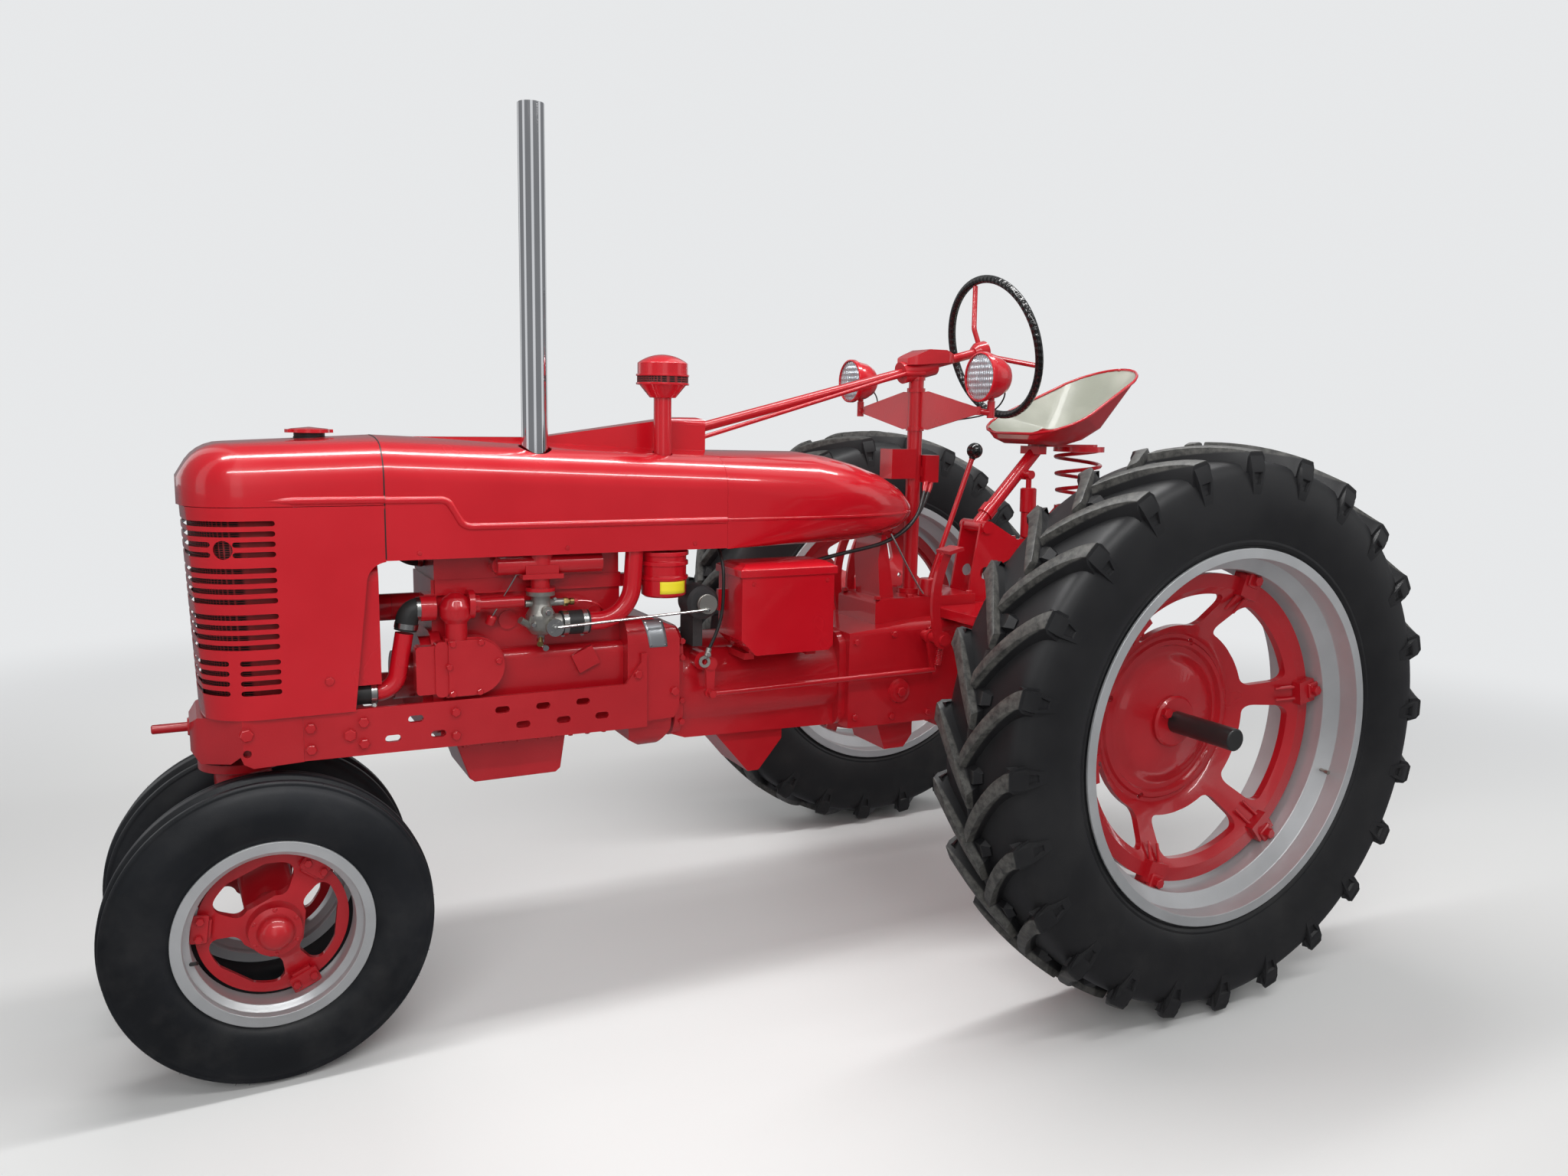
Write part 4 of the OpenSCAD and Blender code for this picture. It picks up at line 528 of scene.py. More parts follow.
def front_seat(side, radius, angle, out):
    """A seat on a front wheel's outer face, its Z outward and its X along the radius."""
    a = math.radians(angle)
    lean = Matrix.Rotation(math.radians(side * CAMBER), 4, "X")
    middle = Matrix.Translation(spot(FRONT_AXLE_X, side * FRONT_MID_Y, FRONT_AXLE_Z))
    along = Vector((math.cos(a), 0, math.sin(a)))
    outward = Vector((0, side, 0))
    across = outward.cross(along)
    turn = Matrix((along, across, outward)).transposed().to_4x4()
    return middle @ lean @ Matrix.Translation(along * radius / 1000 + outward * out / 1000) @ turn


def build_front_clamps(side, name):
    bm = bmesh.new()
    for i in range(FRONT_SPOKES):
        angle = FRONT_CLAMP_START + 360 / FRONT_SPOKES * i
        seat = front_seat(side, FRONT_CLAMP_R, angle, FRONT_CLAMP_OUT)
        pressed(bm, seat, rounded_box(38, 66, 5), FRONT_CLAMP_THICK, 2)
        for shift in (-21, 21):
            hex_head(bm, shifted(seat, 0, shift, FRONT_CLAMP_THICK), 17, 9)
    for i in range(CAP_SCREWS):
        seat = front_seat(side, CAP_SCREW_R, 30 + 360 / CAP_SCREWS * i, CAP_SCREW_OUT)
        turned(bm, seat, [(0, 0), (6, 0), (6, 6), (3, 9), (0, 9)], 8)
    seal(bm, "front_clamps_" + name, red_cast, "front_wheel_" + name)


def smooth_line(points, rounds=3):
    """Rounds the corners of a line of points by cutting them, with both ends kept."""
    line = [Vector(p) for p in points]
    for _ in range(rounds):
        cut = [line[0]]
        for a, b in zip(line, line[1:]):
            cut += [a.lerp(b, 0.25), a.lerp(b, 0.75)]
        cut.append(line[-1])
        line = cut
    return line


def build_front_valve(side, name):
    bm = bmesh.new()
    bend = [front_seat(side, radius, FRONT_VALVE_ANGLE, out).translation
            for radius, out in ((196, 20), (186, 34), (170, 44))]
    drawn_tube(bm, smooth_line(bend), 4.5)
    seal(bm, "front_valve_" + name, black_steel, "front_wheel_" + name)


for side, name in SIDES:
    build_front_clamps(side, name)
    build_front_valve(side, name)

# Rear tyres
# A tall farm tyre of black rubber: a smooth casing with 24 curved bars a side, moulded in one with it.
# Each bar ends square at the shoulder over a buttress with a recessed pocket, and its top is scuffed grey.
REAR_TREAD_R = 727
REAR_TIP_R = 765
REAR_HALF_W = 162
BARS_A_SIDE = 24
BAR_SWEEP = 14
BAR_STATIONS = 15
BAR_INNER_OUT = -13
BAR_END_OUT = REAR_HALF_W - 11
BAR_ROOT_R = 716
BAR_TIP_DROP = 18
SHOULDER_OUT = 118
WORN_FROM, WORN_TO = 0.7435, 0.7475


def tyre_point(side, radius, angle, out):
    return spot(*rear_place(side, radius, angle, out))


def casing_profile():
    """Radius and distance from the tread's middle, from one bead over the tread to the other."""
    half = [(487, 133), (497, 134.5), (507, 136), (511, 141), (517, 144), (523, 143.5), (530, 147),
            (548, 152.5), (567, 157), (590, 160), (614, 161.3), (637, 161), (655, 159.5), (672, 157),
            (688, 153), (701, 147), (711, 138.5), (718, 127), (722, 112), (724.5, 90), (726, 60),
            (REAR_TREAD_R, 25)]
    return half + [(r, -out) for r, out in reversed(half)]


def tread_angle(length):
    """Degrees that a length in millimetres takes up along the bars' tips."""
    return math.degrees(length / REAR_TIP_R)


def add_bar(bm, side, face, start):
    """One curved bar on a side's outer (face 1) or inner (face -1) half of the tread."""
    before = None
    for k in range(BAR_STATIONS + 1):
        share = k / BAR_STATIONS
        out = BAR_INNER_OUT + (BAR_END_OUT - BAR_INNER_OUT) * share
        middle = start + BAR_SWEEP * (1 - (1 - share) ** 1.35)
        tip = REAR_TIP_R - BAR_TIP_DROP * max(0.0, out / BAR_END_OUT) ** 2
        root = BAR_ROOT_R - max(0, out - SHOULDER_OUT) * 0.62
        half_tip = tread_angle(20 + 3 * share)
        half_root = half_tip + tread_angle(9)
        if k == 0:
            half_tip *= 0.86
        rising = [(root, -half_root - 0.3), (REAR_TREAD_R + 5, -half_root), (tip - 5, -half_tip - 0.10),
                  (tip - 1.2, -half_tip), (tip, -half_tip + 0.32)]
        section = rising + [(tip, 0)] + [(r, -a) for r, a in reversed(rising)]
        ring = [bm.verts.new(tyre_point(side, r, middle + a, out * face)) for r, a in section]
        if before:
            for i in range(len(ring) - 1):
                bm.faces.new((before[i], before[i + 1], ring[i + 1], ring[i]))
        else:
            bm.faces.new(ring)
        before = ring
    bm.faces.new(list(reversed(before)))


def add_ridge(bm, side, face, start):
    """The short ridge that joins a bar to the tread's middle."""
    middle = start - 3.1
    ridge = []
    for out, r, half in ((BAR_INNER_OUT, 741, 1.5), (16, 745, 1.3), (34, 730, 0.9)):
        for q, a in ((r - 22, -half - 0.7), (r, -half), (r, half), (r - 22, half + 0.7)):
            ridge.append(bm.verts.new(tyre_point(side, q, middle + a, out * face)))
    for k in (0, 4):
        for i in range(k, k + 3):
            bm.faces.new((ridge[i], ridge[i + 1], ridge[i + 5], ridge[i + 4]))


def add_buttress(bm, side, face, end):
    """The block under a bar's square end, with a pocket let into it."""
    # Radius, distance out and half angle of each row, with the pocket between the third and the fourth
    rows = [(736, BAR_END_OUT, 1.72), (BAR_ROOT_R, REAR_HALF_W - 3, 1.85), (700, REAR_HALF_W, 1.85),
            (660, REAR_HALF_W + 0.3, 1.45), (640, REAR_HALF_W - 1, 1.2)]
    pocket_row, sunk, deep, flare = 2, 6, 24, 0.5
    outer = [[bm.verts.new(tyre_point(side, r, end + s * half, out * face)) for r, out, half in rows]
             for s in (-1, 1)]
    inner = [[bm.verts.new(tyre_point(side, r, end + s * (half + flare), (out - deep) * face))
              for r, out, half in rows] for s in (-1, 1)]
    last = len(rows) - 1
    for k in range(last):
        for s in (0, 1):
            bm.faces.new((outer[s][k], outer[s][k + 1], inner[s][k + 1], inner[s][k]))
        if k != pocket_row:
            bm.faces.new((outer[0][k], outer[1][k], outer[1][k + 1], outer[0][k + 1]))
    for k in (0, last):
        bm.faces.new((outer[0][k], outer[1][k], inner[1][k], inner[0][k]))
    lip = [outer[0][pocket_row], outer[1][pocket_row], outer[1][pocket_row + 1], outer[0][pocket_row + 1]]
    edge = [bm.verts.new(tyre_point(side, r, end + a, REAR_HALF_W * face)) for r, a in
            ((695, -1.25), (695, 1.25), (664, 0.75), (664, -0.75))]
    bottom = [bm.verts.new(tyre_point(side, r, end + a, (REAR_HALF_W - sunk) * face)) for r, a in
              ((691, -1.05), (691, 1.05), (667, 0.58), (667, -0.58))]
    bridge(bm, lip, edge)
    bridge(bm, edge, bottom)
    bm.faces.new(bottom)


def build_rear_rubber():
    """Tyre rubber with a faint painted blue sheen, whose tread tops are scuffed grey by running."""
    # Painted sheen: the faint blue lean of the two tones stands for bluish reflected light; the dust and the
    # scuffed tops are real wear
    made = surface("rear_tyre_rubber", (0.008, 0.008, 0.009), (0.013, 0.013, 0.014), (0.38, 0.55), grain=260,
                   depth=0.6, bump=0.10, dust=0.16, dust_colour=(0.07, 0.065, 0.06), specular=0.5)
    tree = made.node_tree
    tone = tree.nodes["Principled BSDF"].inputs["Base Color"]
    at = object_place(tree)
    # Distance from the axle, so that all that stands above the casing is worn
    axle = (REAR_AXLE_X, 0, REAR_AXLE_Z / 1000)
    shift = add_node(tree, "VectorMath", {0: at, 1: axle}, operation="SUBTRACT")
    flat = add_node(tree, "VectorMath", {0: shift.outputs[0], 1: (1, 0, 1)}, operation="MULTIPLY")
    away = add_node(tree, "VectorMath", {0: flat.outputs[0]}, operation="LENGTH").outputs["Value"]
    streaks = span(tree, noise_in(tree, at, scale=55, detail=5, rough=0.7), 0.35, 0.62, 0.15, 0.75)
    worn = reckon(tree, "MULTIPLY", span(tree, away, WORN_FROM, WORN_TO), streaks)
    tree.links.new(blend_colours(tree, worn, tone.links[0].from_socket, (0.115, 0.112, 0.102)), tone)
    return made


rear_rubber_blue_sheen = build_rear_rubber()


def build_rear_tyre(side, name):
    bm = bmesh.new()
    steps = 192
    rings = [[bm.verts.new(tyre_point(side, r, 360 * i / steps, out)) for i in range(steps)]
             for r, out in casing_profile()]
    for low, high in zip(rings, rings[1:] + rings[:1]):
        bridge(bm, low, high)
    pitch = 360 / BARS_A_SIDE
    for i in range(BARS_A_SIDE):
        for face, start in ((1, -90 - pitch * i), (-1, -90 - pitch / 2 - pitch * i)):
            add_bar(bm, side, face, start)
            add_ridge(bm, side, face, start)
            add_buttress(bm, side, face, start + BAR_SWEEP)
    tyre = seal(bm, "rear_tyre_tread_" + name, rear_rubber_blue_sheen, "rear_wheel_" + name, sharp=28)
    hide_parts("rear_tyre_" + name)


for side, name in SIDES:
    build_rear_tyre(side, name)

# Front tyres
# Smooth casings with a tall rib in the middle of the tread, a lower one on each shoulder and grooves between.
# A few rubber hairs from the mould still stand on the shoulders.
HAIRS_A_SHOULDER = 26
HAIR_FOOT_R, HAIR_TIP_R, HAIR_OUT = 354, 359, 54
# Painted sheen: the faint blue cast of the rubber's tones stands for bluish light reflected off the casings;
# the dust is real
tyre_rubber_blue_sheen = surface("tyre_rubber_blue_sheen", (0.006, 0.0068, 0.0085), (0.010, 0.0112, 0.014), (0.36, 0.52), grain=300,
                      depth=0.7, bump=0.10, dust=0.18, dust_colour=(0.09, 0.085, 0.08), specular=0.4)


def build_front_tyre(side, name):
    # Radius and distance from the tread's middle, from the bead up the side wall to the middle rib
    half = [(203.9, 55.5), (212, 56), (223, 57.5), (229, 62), (236, 66.8), (245, 71), (262, 75), (282, 77),
            (300, 76), (318, 71.5), (332, 67), (340, 62.6), (347, 57.5), (350, 56.6), (353, 57.2),
            (356, 55.6), (358.2, 52.5), (359, 49), (359, 40), (357.6, 37), (353, 34.5), (348.5, 31.5),
            (348, 28), (348.2, 23), (352, 20), (361, 16.8), (364.3, 14), (365, 10), (365, 3)]
    profile = half + [(r, -out) for r, out in reversed(half)]
    steps = 144
    bm = bmesh.new()
    rings = [[bm.verts.new(front_seat(side, r, 360 * i / steps, out).translation) for r, out in profile]
             for i in range(steps)]
    for here, ahead in zip(rings, rings[1:] + rings[:1]):
        bridge(bm, here, ahead)
    tyre = seal(bm, "front_tyre_detailed_" + name, tyre_rubber_blue_sheen, "front_wheel_" + name, sharp=50)
    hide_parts("front_tyre_" + name)


def build_mould_hairs(side, name):
    """Fine hairs at uneven places and of uneven length round both shoulders."""
    bm = bmesh.new()
    for i in range(HAIRS_A_SHOULDER):
        angle = 360 * i / HAIRS_A_SHOULDER + 5 * math.sin(i * 2.3)
        for out in (HAIR_OUT, -HAIR_OUT):
            foot = front_seat(side, HAIR_FOOT_R, angle, out).translation
            tip = front_seat(side, HAIR_TIP_R + 1.5 * math.sin(i), angle + 0.3, out * 1.06).translation
            drawn_tube(bm, [foot, foot.lerp(tip, 0.6), tip], [0.6, 0.5, 0.35], 5)
    seal(bm, "front_tyre_hairs_" + name, tyre_rubber_blue_sheen, "front_wheel_" + name)


for side, name in SIDES:
    build_front_tyre(side, name)
    build_mould_hairs(side, name)

# Frame and engine
# Rails bolt to the nose casting, the block and the bell housing with plain hex bolts.
# The open side of the engine shows its gear cover, governor, carburettor, pipes and hoses.
RAIL_FACE, BELL_FACE, GEAR_COVER_FACE = 195, 182.7, 199.5
HEAD_STUDS, FIRST_STUD_X, STUD_PITCH = 8, 1395, 61
HEAD_TOP_Z, ROCKER_TOP_Z = 1230, 1321.5
SUMP_SCREWS, FIRST_SCREW_X, SCREW_PITCH, SUMP_FLANGE_Z = 9, 1420, 46, 736
CLUTCH_JOINT_X, CLUTCH_MIDDLE_Z, CLUTCH_FOOT_Z = 1378, 845, 760
bare_metal = surface("bare_metal", (0.36, 0.35, 0.32), (0.50, 0.49, 0.46), (0.3, 0.5), grain=300, bump=0.3,
                     metal=0.9)
dress(bare_metal, 0.001, "carburettor", "pto_shaft")
dark_iron = surface("dark_iron", (0.02, 0.02, 0.022), (0.045, 0.04, 0.04), (0.5, 0.7), grain=260, bump=0.3)
dress(dark_iron, 0.0015, "radiator", "starting_motor")
hose_rubber = surface("hose_rubber", (0.012, 0.012, 0.012), (0.022, 0.022, 0.022), (0.4, 0.55), grain=400,
                      bump=0.06)
dress(hose_rubber, 0.001, "rubber_hoses")
UP, DOWN = (0, 0, 1), (0, 0, -1)
AHEAD, BACK = (1, 0, 0), (-1, 0, 0)


def build_frame_bolts():
    """Bolts at both sides, each head turned its own way by a spin that comes from its place."""
    bm = bmesh.new()
    # Distance ahead of the rear axle, height, size across flats
    for x, z, size in ((2155, 837, 22), (2155, 786, 22), (2069, 811, 26), (2038, 839, 22), (2038, 787, 22),
                       (1823, 842, 20), (1823, 783, 20), (2290, 835, 26)):
        for side in (1, -1):
            hex_head(bm, facing(x, side * RAIL_FACE, z, (0, side, 0), x % 60), size, 11)
    for side in (1, -1):
        outward = (0, side, 0)
        hex_head(bm, facing(1239, side * BELL_FACE, 837, outward, 12), 22, 10)
        hex_head(bm, facing(1348, side * RAIL_FACE, 895, outward, 40), 20, 10)
        hex_head(bm, facing(2110, side * 206, 946, outward, 20), 18, 6)
    seal(bm, "frame_bolts", red_cast)


build_frame_bolts()


def build_engine_bolts():
    """Bolts of the gear cover, cylinder head, rocker cover, sump and clutch housing."""
    bm = bmesh.new()
    for x, z in ((1827, 1012), (1759, 1012), (1716, 962), (1763, 888), (1828, 888), (1836, 955)):
        hex_head(bm, facing(x, GEAR_COVER_FACE, z, LEFT, x % 60), 14, 7)
    # Head studs along both edges
    for i in range(HEAD_STUDS):
        for side in (1, -1):
            hex_head(bm, facing(FIRST_STUD_X + i * STUD_PITCH, side * 112, HEAD_TOP_Z, UP, i * 17), 20, 13)
    # Rocker cover nuts
    for x in (1470, 1600, 1730):
        hex_head(bm, facing(x, 0, ROCKER_TOP_Z, UP, 5), 18, 12)
    # Sump flange screws
    for i in range(SUMP_SCREWS):
        x = FIRST_SCREW_X + i * SCREW_PITCH
        for side in (1, -1):
            hex_head(bm, facing(x, side * 128, SUMP_FLANGE_Z, DOWN, i * 23), 12, 6, False)
    # Oval joint of the clutch housing, down to its foot
    for angle in range(0, 360, 30):
        a = math.radians(angle)
        y, z = 155.04 * math.cos(a), CLUTCH_MIDDLE_Z + 140 * math.sin(a)
        if z > CLUTCH_FOOT_Z:
            hex_head(bm, facing(CLUTCH_JOINT_X, y, z, AHEAD, angle), 16, 8, False)
    seal(bm, "engine_bolts", red_cast)


build_engine_bolts()

# Cords
# Battery cable, lamp wires and switch cables in black rubber, which hang a little between their ends.
# The battery cable ends in a bare lug with an eye, and the switch cables start in red boots on their studs.
CABLE_THICK, LAMP_WIRE_THICK, SWITCH_CABLE_THICK = 9.5, 4.5, 11
wire_black = surface("wire_black", (0.008, 0.008, 0.008), (0.016, 0.016, 0.016), (0.35, 0.5), grain=500,
                     bump=0.08)


def route(*points, rounds=3):
    """A smooth line through places in millimetres."""
    return smooth_line([spot(*p) for p in points], rounds)


def run_cord(name, points, thick):
    """A flexible lead along given places in millimetres."""
    line = route(*points, rounds=2)
    bm = bmesh.new()
    drawn_tube(bm, line, thick / 2, 12)
    lead = seal(bm, name, wire_black, sharp=60)


def turned_band(bm, seat, inner_r, outer_r, low, high, steps):
    """A plain ring, such as an eye, a clamp's band or a collar of wire."""
    square = [(inner_r, low), (outer_r, low), (outer_r, high), (inner_r, high), (inner_r, low)]
    turned(bm, seat, square, steps)


def build_battery_cable():
    bm = bmesh.new()
    sleeve = facing(1151, 207, 944, (0.35, 0.15, -0.92))
    turned(bm, sleeve, [(0, -8), (7.5, -8), (7.5, 14), (6, 16), (0, 16)], 16)
    eye = facing(1161, 205, 915, (0.1, 1, 0.1), 20)
    turned_band(bm, eye, 8, 16, -3, 3, 20)
    drawn_tube(bm, [spot(1155, 206, 931), spot(1158, 205.5, 926)], 6.5)
    hex_head(bm, facing(1152, 212, 936, (0.2, 1, 0)), 11, 6, False)
    lug = seal(bm, "battery_lug", bare_metal)
    run_cord("battery_cable", [(1098, 150, 1216), (1098, 168, 1192), (1100, 190, 1160), (1103, 198, 1108),
                               (1107, 201, 1050), (1122, 204, 1000), (1150, 207, 947)],
             CABLE_THICK)


build_battery_cable()


def build_lamp_wires():
    for side, name, x in ((1, "left", 336), (-1, "right", 374)):
        points = [(x - 46, side * 326, 1676), (x - 66, side * 318, 1650), (x - 58, side * 296, 1612),
                  (x - 30, side * 262, 1588), (358, side * 190, 1574), (350, side * 110, 1568),
                  (352, side * 27, 1562)]
        run_cord("lamp_wire_" + name, points, LAMP_WIRE_THICK)


build_lamp_wires()


def build_switch_cable(name, stud, line):
    """A heavy cable from the switch box, round the tank's tail and under its belly to the battery box."""
    bm = bmesh.new()
    along = Vector(line[0]) - Vector(stud)
    reach = along.length
    turned(bm, facing(*stud, along), [(0, -3), (8.5, -3), (9, 4), (8.5, reach * 0.7), (6.4, reach),
                                      (6.2, reach + 5), (0, reach + 5)], 16)
    boot = seal(bm, "cable_boot_" + name, red_cast)
    run_cord("switch_cable_" + name, line, SWITCH_CABLE_THICK)


build_switch_cable("front", (338, 28, 1384), [
    (350, 40, 1357), (371, 60, 1330), (391, 78, 1302), (414, 90, 1276), (444, 98, 1250), (488, 104, 1225),
    (542, 110, 1206), (606, 114, 1194), (677, 118, 1184), (740, 121, 1172), (792, 124, 1162)])
build_switch_cable("rear", (318, 26, 1384), [
    (332, 37, 1355), (354, 52, 1326), (380, 65, 1297), (408, 75, 1271), (442, 82, 1246), (486, 88, 1221),
    (541, 94, 1203), (605, 98, 1191), (676, 102, 1181), (739, 106, 1170), (792, 109, 1160)])

# Air, water and fuel lines
# Steel band clamps with a worm screw close the rubber hoses; the fuel line is a thin painted copper tube.
# The throttle plate, needle valve and linkage are bare cast metal and brass.
BAND_HALF_W = 6.5
CARB_X, CARB_Y, BOWL_SCREW_R = 1600, 170, 34
THROTTLE_X, THROTTLE_Z, PLATE_SCREW_R = 1578, 1040, 15
clamp_steel = surface("clamp_steel", (0.55, 0.55, 0.54), (0.66, 0.66, 0.64), (0.18, 0.3), grain=300,
                      bump=0.05, metal=1.0)
brass = surface("brass", (0.42, 0.30, 0.10), (0.52, 0.38, 0.16), (0.25, 0.4), grain=300, bump=0.08, metal=1.0)


def add_band_clamp(bm, seat, radius):
    turned_band(bm, seat, radius - 0.4, radius + 1.4, -BAND_HALF_W, BAND_HALF_W, 32)
    screw = shifted(seat, 0, radius + 5, 0) @ Matrix.Rotation(math.radians(90), 4, "Y")
    turned(bm, screw, [(0, -9), (5, -9), (5, 9), (0, 9)], 12)
    hex_head(bm, shifted(screw, 0, 0, 9), 7, 4, False)


def build_clamps():
    bm = bmesh.new()
    # Place, radius of the hose, direction of the hose, turn of the screw
    for x, y, z, radius, along, spin in (
            (1540, 172, 1042, 31, AHEAD, 150), (1489, 172, 1042, 31, AHEAD, 150),
            (2008, 150, 898, 27, AHEAD, 200), (1926, 150, 1056, 27, (0.174, 0, -0.985), 120),
            (1897, 150, 1096, 27, AHEAD, 90), (1865, 0, 1205, 24, AHEAD, 90),
            (2041, 0, 1330.7, 24, AHEAD, 90)):
        add_band_clamp(bm, facing(x, y, z, along, spin), radius)
    seal(bm, "hose_clamps", clamp_steel)


build_clamps()


def build_throttle():
    """The throttle plate with its rod, and the screws and drain tap of the carburettor."""
    bm = bmesh.new()
    plate = facing(THROTTLE_X, 224, THROTTLE_Z, LEFT, 15)
    turned(bm, plate, [(0, 0), (22.5, 0), (22.5, 2.4), (9, 2.6), (9, 4.5), (0, 4.5)], 28)
    for angle in (40, 220):
        a = math.radians(angle)
        screw = shifted(plate, PLATE_SCREW_R * math.cos(a), PLATE_SCREW_R * math.sin(a), 2.4)
        turned(bm, screw, [(0, 0), (3, 0), (3, 2), (0, 2.4)], 10)
    # Lever and clevis at the rod's ends
    for x, y, z in ((THROTTLE_X, 219, THROTTLE_Z), (1160, 216, 1060)):
        turned(bm, facing(x, y, z), [(0, 0), (5, 0), (5, 13), (3, 14), (0, 14)], 12)
    drawn_tube(bm, [spot(1579, 227, 1040), spot(1170, 224, 1060)], 3.1)
    # Shafts, adjusting screws and flange bolts: place, direction, size across flats, height
    for x, y, z, along, size, tall in (
            (1622, 170, 1122, UP, 15, 12), (1576, 170, 1122, UP, 15, 12), (1594, 214, 1078, LEFT, 13, 7),
            (1652, 170, 1096, AHEAD, 14, 9), (1600, 196, 1062, (0.2, 1, 0), 12, 9),
            (1625, 196, 1046, (0.3, 1, 0), 12, 8), (1600, 170, 1004, DOWN, 18, 9),
            (1570, 186, 1106, (0, 1, 0.2), 9, 12)):
        hex_head(bm, facing(x, y, z, along, x % 50), size, tall, False)
    # Ring of screws that closes the bowl
    for i in range(8):
        a = math.radians(45 * i)
        x, y = CARB_X + BOWL_SCREW_R * math.cos(a), CARB_Y + BOWL_SCREW_R * math.sin(a)
        turned(bm, facing(x, y, 1063, UP), [(0, 0), (4, 0), (4, 7), (0, 8)], 8)
    # Drain tap
    drawn_tube(bm, route((1606, 176, 1004), (1606, 186, 992), (1598, 196, 986)), 4.5)
    turned(bm, facing(1596, 198, 985, (0, 1, -0.2)), [(0, -3), (8, -3), (8, 3), (0, 4)], 8)
    seal(bm, "throttle_and_screws", clamp_steel)


build_throttle()


def build_needle_valve():
    bm = bmesh.new()
    needle = facing(1541, 170, 1096, BACK, 10)
    hex_head(bm, needle, 20, 12, False)
    turned(bm, needle, [(0, 10), (6, 10), (6, 16), (9, 17), (9, 26), (7, 28), (0, 28)], 16)
    drain = facing(1609, 200, 1010, (0.3, 0.8, -0.4))
    turned(bm, drain, [(0, 0), (6, 0), (6, 16), (8, 17), (8, 24), (0, 25)], 14)
    seal(bm, "needle_valve", brass)


build_needle_valve()


def build_fuel_line():
    """The tube from the needle valve to the block with a nut at each end, and the boss of the oil stick."""
    bm = bmesh.new()
    drawn_tube(bm, route((1515, 172, 1096), (1490, 176, 1097), (1462, 178, 1092), (1440, 168, 1078),
                         (1430, 150, 1062), (1428, 116, 1052)), 3.2)
    for x, y, z, along in ((1513, 172, 1096, BACK), (1428, 117, 1052, (0, 1, 0.2))):
        hex_head(bm, facing(x, y, z, along), 13, 9, False)
    boss = facing(1721, 150, 1058, (-0.3, 0.3, 0.9))
    turned(bm, boss, [(0, -12), (12, -12), (12, 8), (9, 12), (0, 12)], 16)
    seal(bm, "fuel_line", red_cast)


build_fuel_line()


def build_oil_stick():
    bm = bmesh.new()
    drawn_tube(bm, [spot(1721, 152, 1062), spot(1659, 168, 1172)], 2.2, 8)
    turned_band(bm, facing(1656, 169, 1178), 6, 9, -1.5, 1.5, 16)
    seal(bm, "oil_stick", clamp_steel)


build_oil_stick()

# Plates and labels
# A stamped aluminium data plate is riveted over the bell housing's shoulder; it carries no words here.
# The air cleaner wears a bare yellow sticker round its bowl.
PLATE_FOOT_Z, PLATE_RISE = 961, 71
SHOULDER_Z, SHOULDER_R = 976, 70
CLEANER_X, CLEANER_Y = 1258, 150
plate_metal = surface("data_plate", (0.42, 0.44, 0.46), (0.52, 0.54, 0.56), (0.3, 0.45), grain=400, bump=0.05,
                      metal=0.8)
label_yellow = surface("yellow_sticker", (0.80, 0.66, 0.02), (0.84, 0.70, 0.03), (0.35, 0.5), grain=400,
                       bump=0.01)


def lay_sheet(name, rows, material, thick):
    """A thin sheet through a grid of places, as thick as given in millimetres."""
    bm = bmesh.new()
    grid = [[bm.verts.new(p) for p in row] for row in rows]
    for low, high in zip(grid, grid[1:]):
        for i in range(len(low) - 1):
            bm.faces.new((low[i], low[i + 1], high[i + 1], high[i]))
    solid = seal(bm, name, material, sharp=50).modifiers.new("thick", "SOLIDIFY")
    solid.thickness = thick / 1000
    solid.offset = 0


def bell_side(z):
    """How far out the bell housing's side stands at a height: upright, then a round shoulder."""
    rise = max(0, z - SHOULDER_Z)
    return BELL_FACE - SHOULDER_R + math.sqrt(max(0, SHOULDER_R ** 2 - rise ** 2))


def build_data_plate():
    rows = []
    for k in range(11):
        share = k / 10
        z = PLATE_FOOT_Z + PLATE_RISE * share
        front_x, wide = 1311 + 12 * share, 51 + 4 * share
        rows.append([spot(front_x - wide * i / 6, bell_side(z) + 1.0, z) for i in range(7)])
    lay_sheet("data_plate", rows, plate_metal, 1.4)
    bm = bmesh.new()
    for x, z, lift in ((1306, 966, 0), (1265, 966, 0), (1316, 1026, 0.55), (1273, 1026, 0.55)):
        turned(bm, facing(x, bell_side(z) + 1.2, z, (0, 1, lift)), [(0, 0), (3, 0), (2.4, 1.6), (0, 2.2)], 10)
    seal(bm, "plate_rivets", clamp_steel)


build_data_plate()


def build_sticker():
    angles = [math.radians(-44 + 5 * i) for i in range(16)]
    rows = [[spot(CLEANER_X + r * math.sin(a), CLEANER_Y + r * math.cos(a), z) for a in angles]
            for z, r in ((1106, 61.0), (1118, 61.0), (1132, 61.0), (1138.5, 61.3))]
    lay_sheet("yellow_sticker", rows, label_yellow, 0.5)


build_sticker()

# Grille mesh
# A dark woven wire screen stands behind the louvres and keeps chaff out of the radiator.
# The same wire is rolled round the throat of the precleaner, between two painted beads.
NOSE_X, NOSE_TOP_Z, NOSE_LEAN = 2385, 1352, 2.2
SCREEN_HALF_W, SCREEN_CORNER = 191, 113
THROAT_X, THROAT_Y, THROAT_Z = 1253, 125, 1652
THROAT_R = 66.6


